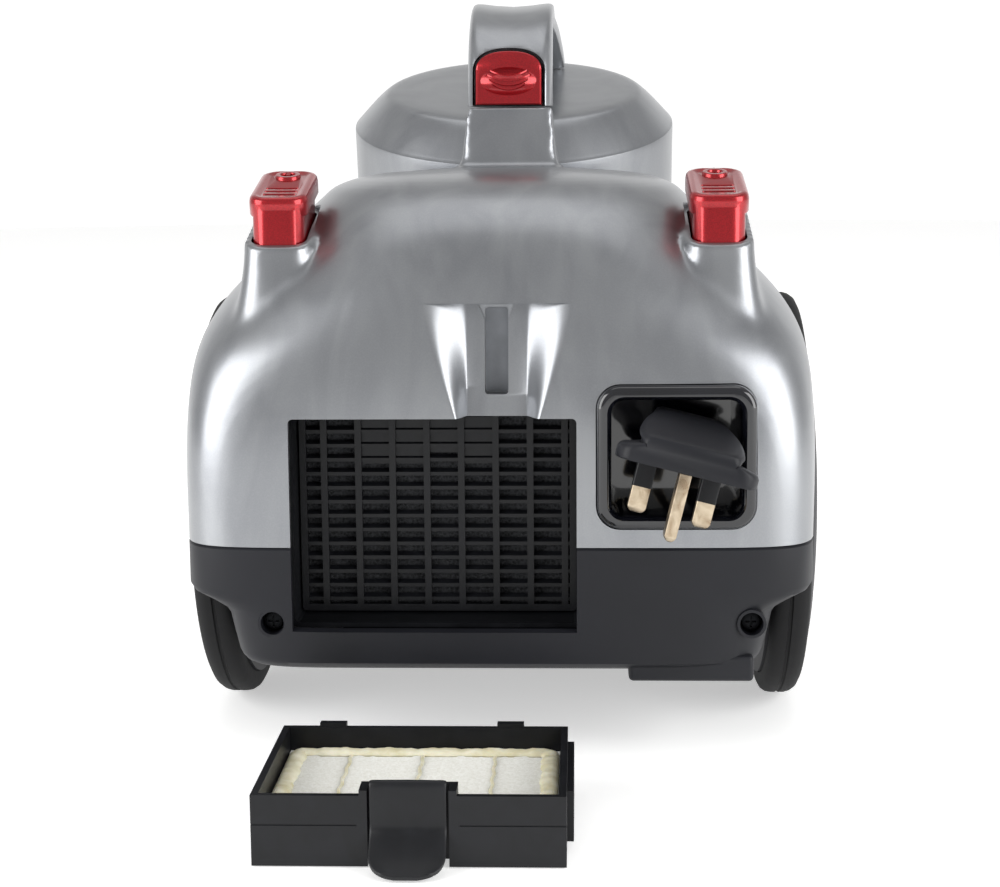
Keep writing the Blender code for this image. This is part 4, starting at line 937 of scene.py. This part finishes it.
# Studio: a flat pale floor lit from below, a large soft box on each side, one overhead, and the camera.
studio = {"floor": "F4F4F3", "floorReach": 4.0, "floorGlow": 0.46, "sideWatts": 34.0, "topWatts": 6.0, "skyDim": 0.5, "skyBright": 1.05}
camera = {"x": 0.0286, "y": -0.7829, "z": 0.2174, "tilt": 80.983, "turn": 2.36, "roll": -0.486, "lens": 71.3}


def makeFloor():
    reach = studio["floorReach"]
    below = -0.0004  # metres, just under the tyres
    rim = [(reach * math.cos(math.pi * k / 32), reach * math.sin(math.pi * k / 32), below) for k in range(64)]
    points, faces = rim + [(x * 0.5, y * 0.5, z) for x, y, z in rim] + [(0, 0, below)], []
    for k in range(64):
        n = (k + 1) % 64
        faces += [(k, n, 64 + n, 64 + k), (64 + k, 64 + n, 128)]
    mesh = bpy.data.meshes.new("studioFloor")
    mesh.from_pydata(points, [], faces)
    mesh.shade_smooth()
    made = bpy.data.objects.new("studioFloor", mesh)
    bpy.context.scene.collection.objects.link(made)
    # Opal acrylic lit from below: it fades the far edge of the table into the white behind it.
    opal = clouded("opal_acrylic_table_lit_below", studio["floor"], 0.75, 0.0, (3, 3.0), ("F0F0EF", "F6F6F5"),
                   Emission_Color=(1.0, 1.0, 1.0, 1.0), Emission_Strength=studio["floorGlow"], Specular_IOR_Level=0.1)
    mesh.materials.append(opal)


def softBox(name, watts, size, place, aim):
    light = bpy.data.lights.new(name, "AREA")
    light.shape, light.size, light.size_y, light.energy = "RECTANGLE", size[0], size[1], watts
    made = bpy.data.objects.new(name, light)
    made.location = place
    made.rotation_mode = "QUATERNION"
    made.rotation_quaternion = (Vector(aim) - Vector(place)).to_track_quat("-Z", "Y")
    bpy.context.scene.collection.objects.link(made)


def makeStudio():
    makeFloor()
    for name, x in (("leftBox", -1.7), ("rightBox", 1.7)):
        softBox(name, studio["sideWatts"], (1.4, 1.6), (x, -1.0, 0.75), (0, -0.05, 0.1))
    softBox("topBox", studio["topWatts"], (1.6, 1.2), (0, 0.3, 1.9), (0, 0, 0.1))
    world = bpy.data.worlds.new("studio")
    world.use_nodes = True
    bpy.context.scene.world = world
    tree = world.node_tree
    background = tree.nodes["Background"]
    way = addNode(tree, "ShaderNodeSeparateXYZ", links={"Vector": addNode(tree, "ShaderNodeTexCoord").outputs["Generated"]})
    eased = []
    for axis, start, end in (("Y", 0.35, 0.85), ("Z", 0.62, 0.3)):  # bright straight ahead and near the horizon
        settings = {"interpolation_type": "SMOOTHSTEP", "From Min": start, "From Max": end}
        eased.append(addNode(tree, "ShaderNodeMapRange", settings, {"Value": way.outputs[axis]}).outputs["Result"])
    share = addNode(tree, "ShaderNodeMath", {"operation": "MULTIPLY"}, {0: eased[0], 1: eased[1]})
    glow = addNode(tree, "ShaderNodeMapRange", {"To Min": studio["skyDim"], "To Max": studio["skyBright"]}, {"Value": share.outputs[0]})
    tree.links.new(glow.outputs["Result"], background.inputs["Color"])
    background.inputs["Strength"].default_value = 1.0


def makeCamera():
    lens = bpy.data.cameras.new("camera")
    lens.lens, lens.sensor_width, lens.clip_start, lens.clip_end = camera["lens"], 36.0, 0.02, 30.0
    lens.dof.use_dof = False
    made = bpy.data.objects.new("camera", lens)
    turn, tilt, roll = [Matrix.Rotation(math.radians(camera[key]), 4, axis) for key, axis in (("turn", "Z"), ("tilt", "X"), ("roll", "Z"))]
    made.matrix_world = Matrix.Translation((camera["x"], camera["y"], camera["z"])) @ turn @ tilt @ roll
    bpy.context.scene.collection.objects.link(made)
    bpy.context.scene.camera = made
    bpy.context.scene.view_settings.view_transform = "Standard"


makeStudio()
makeCamera()
print("studio and camera ready")
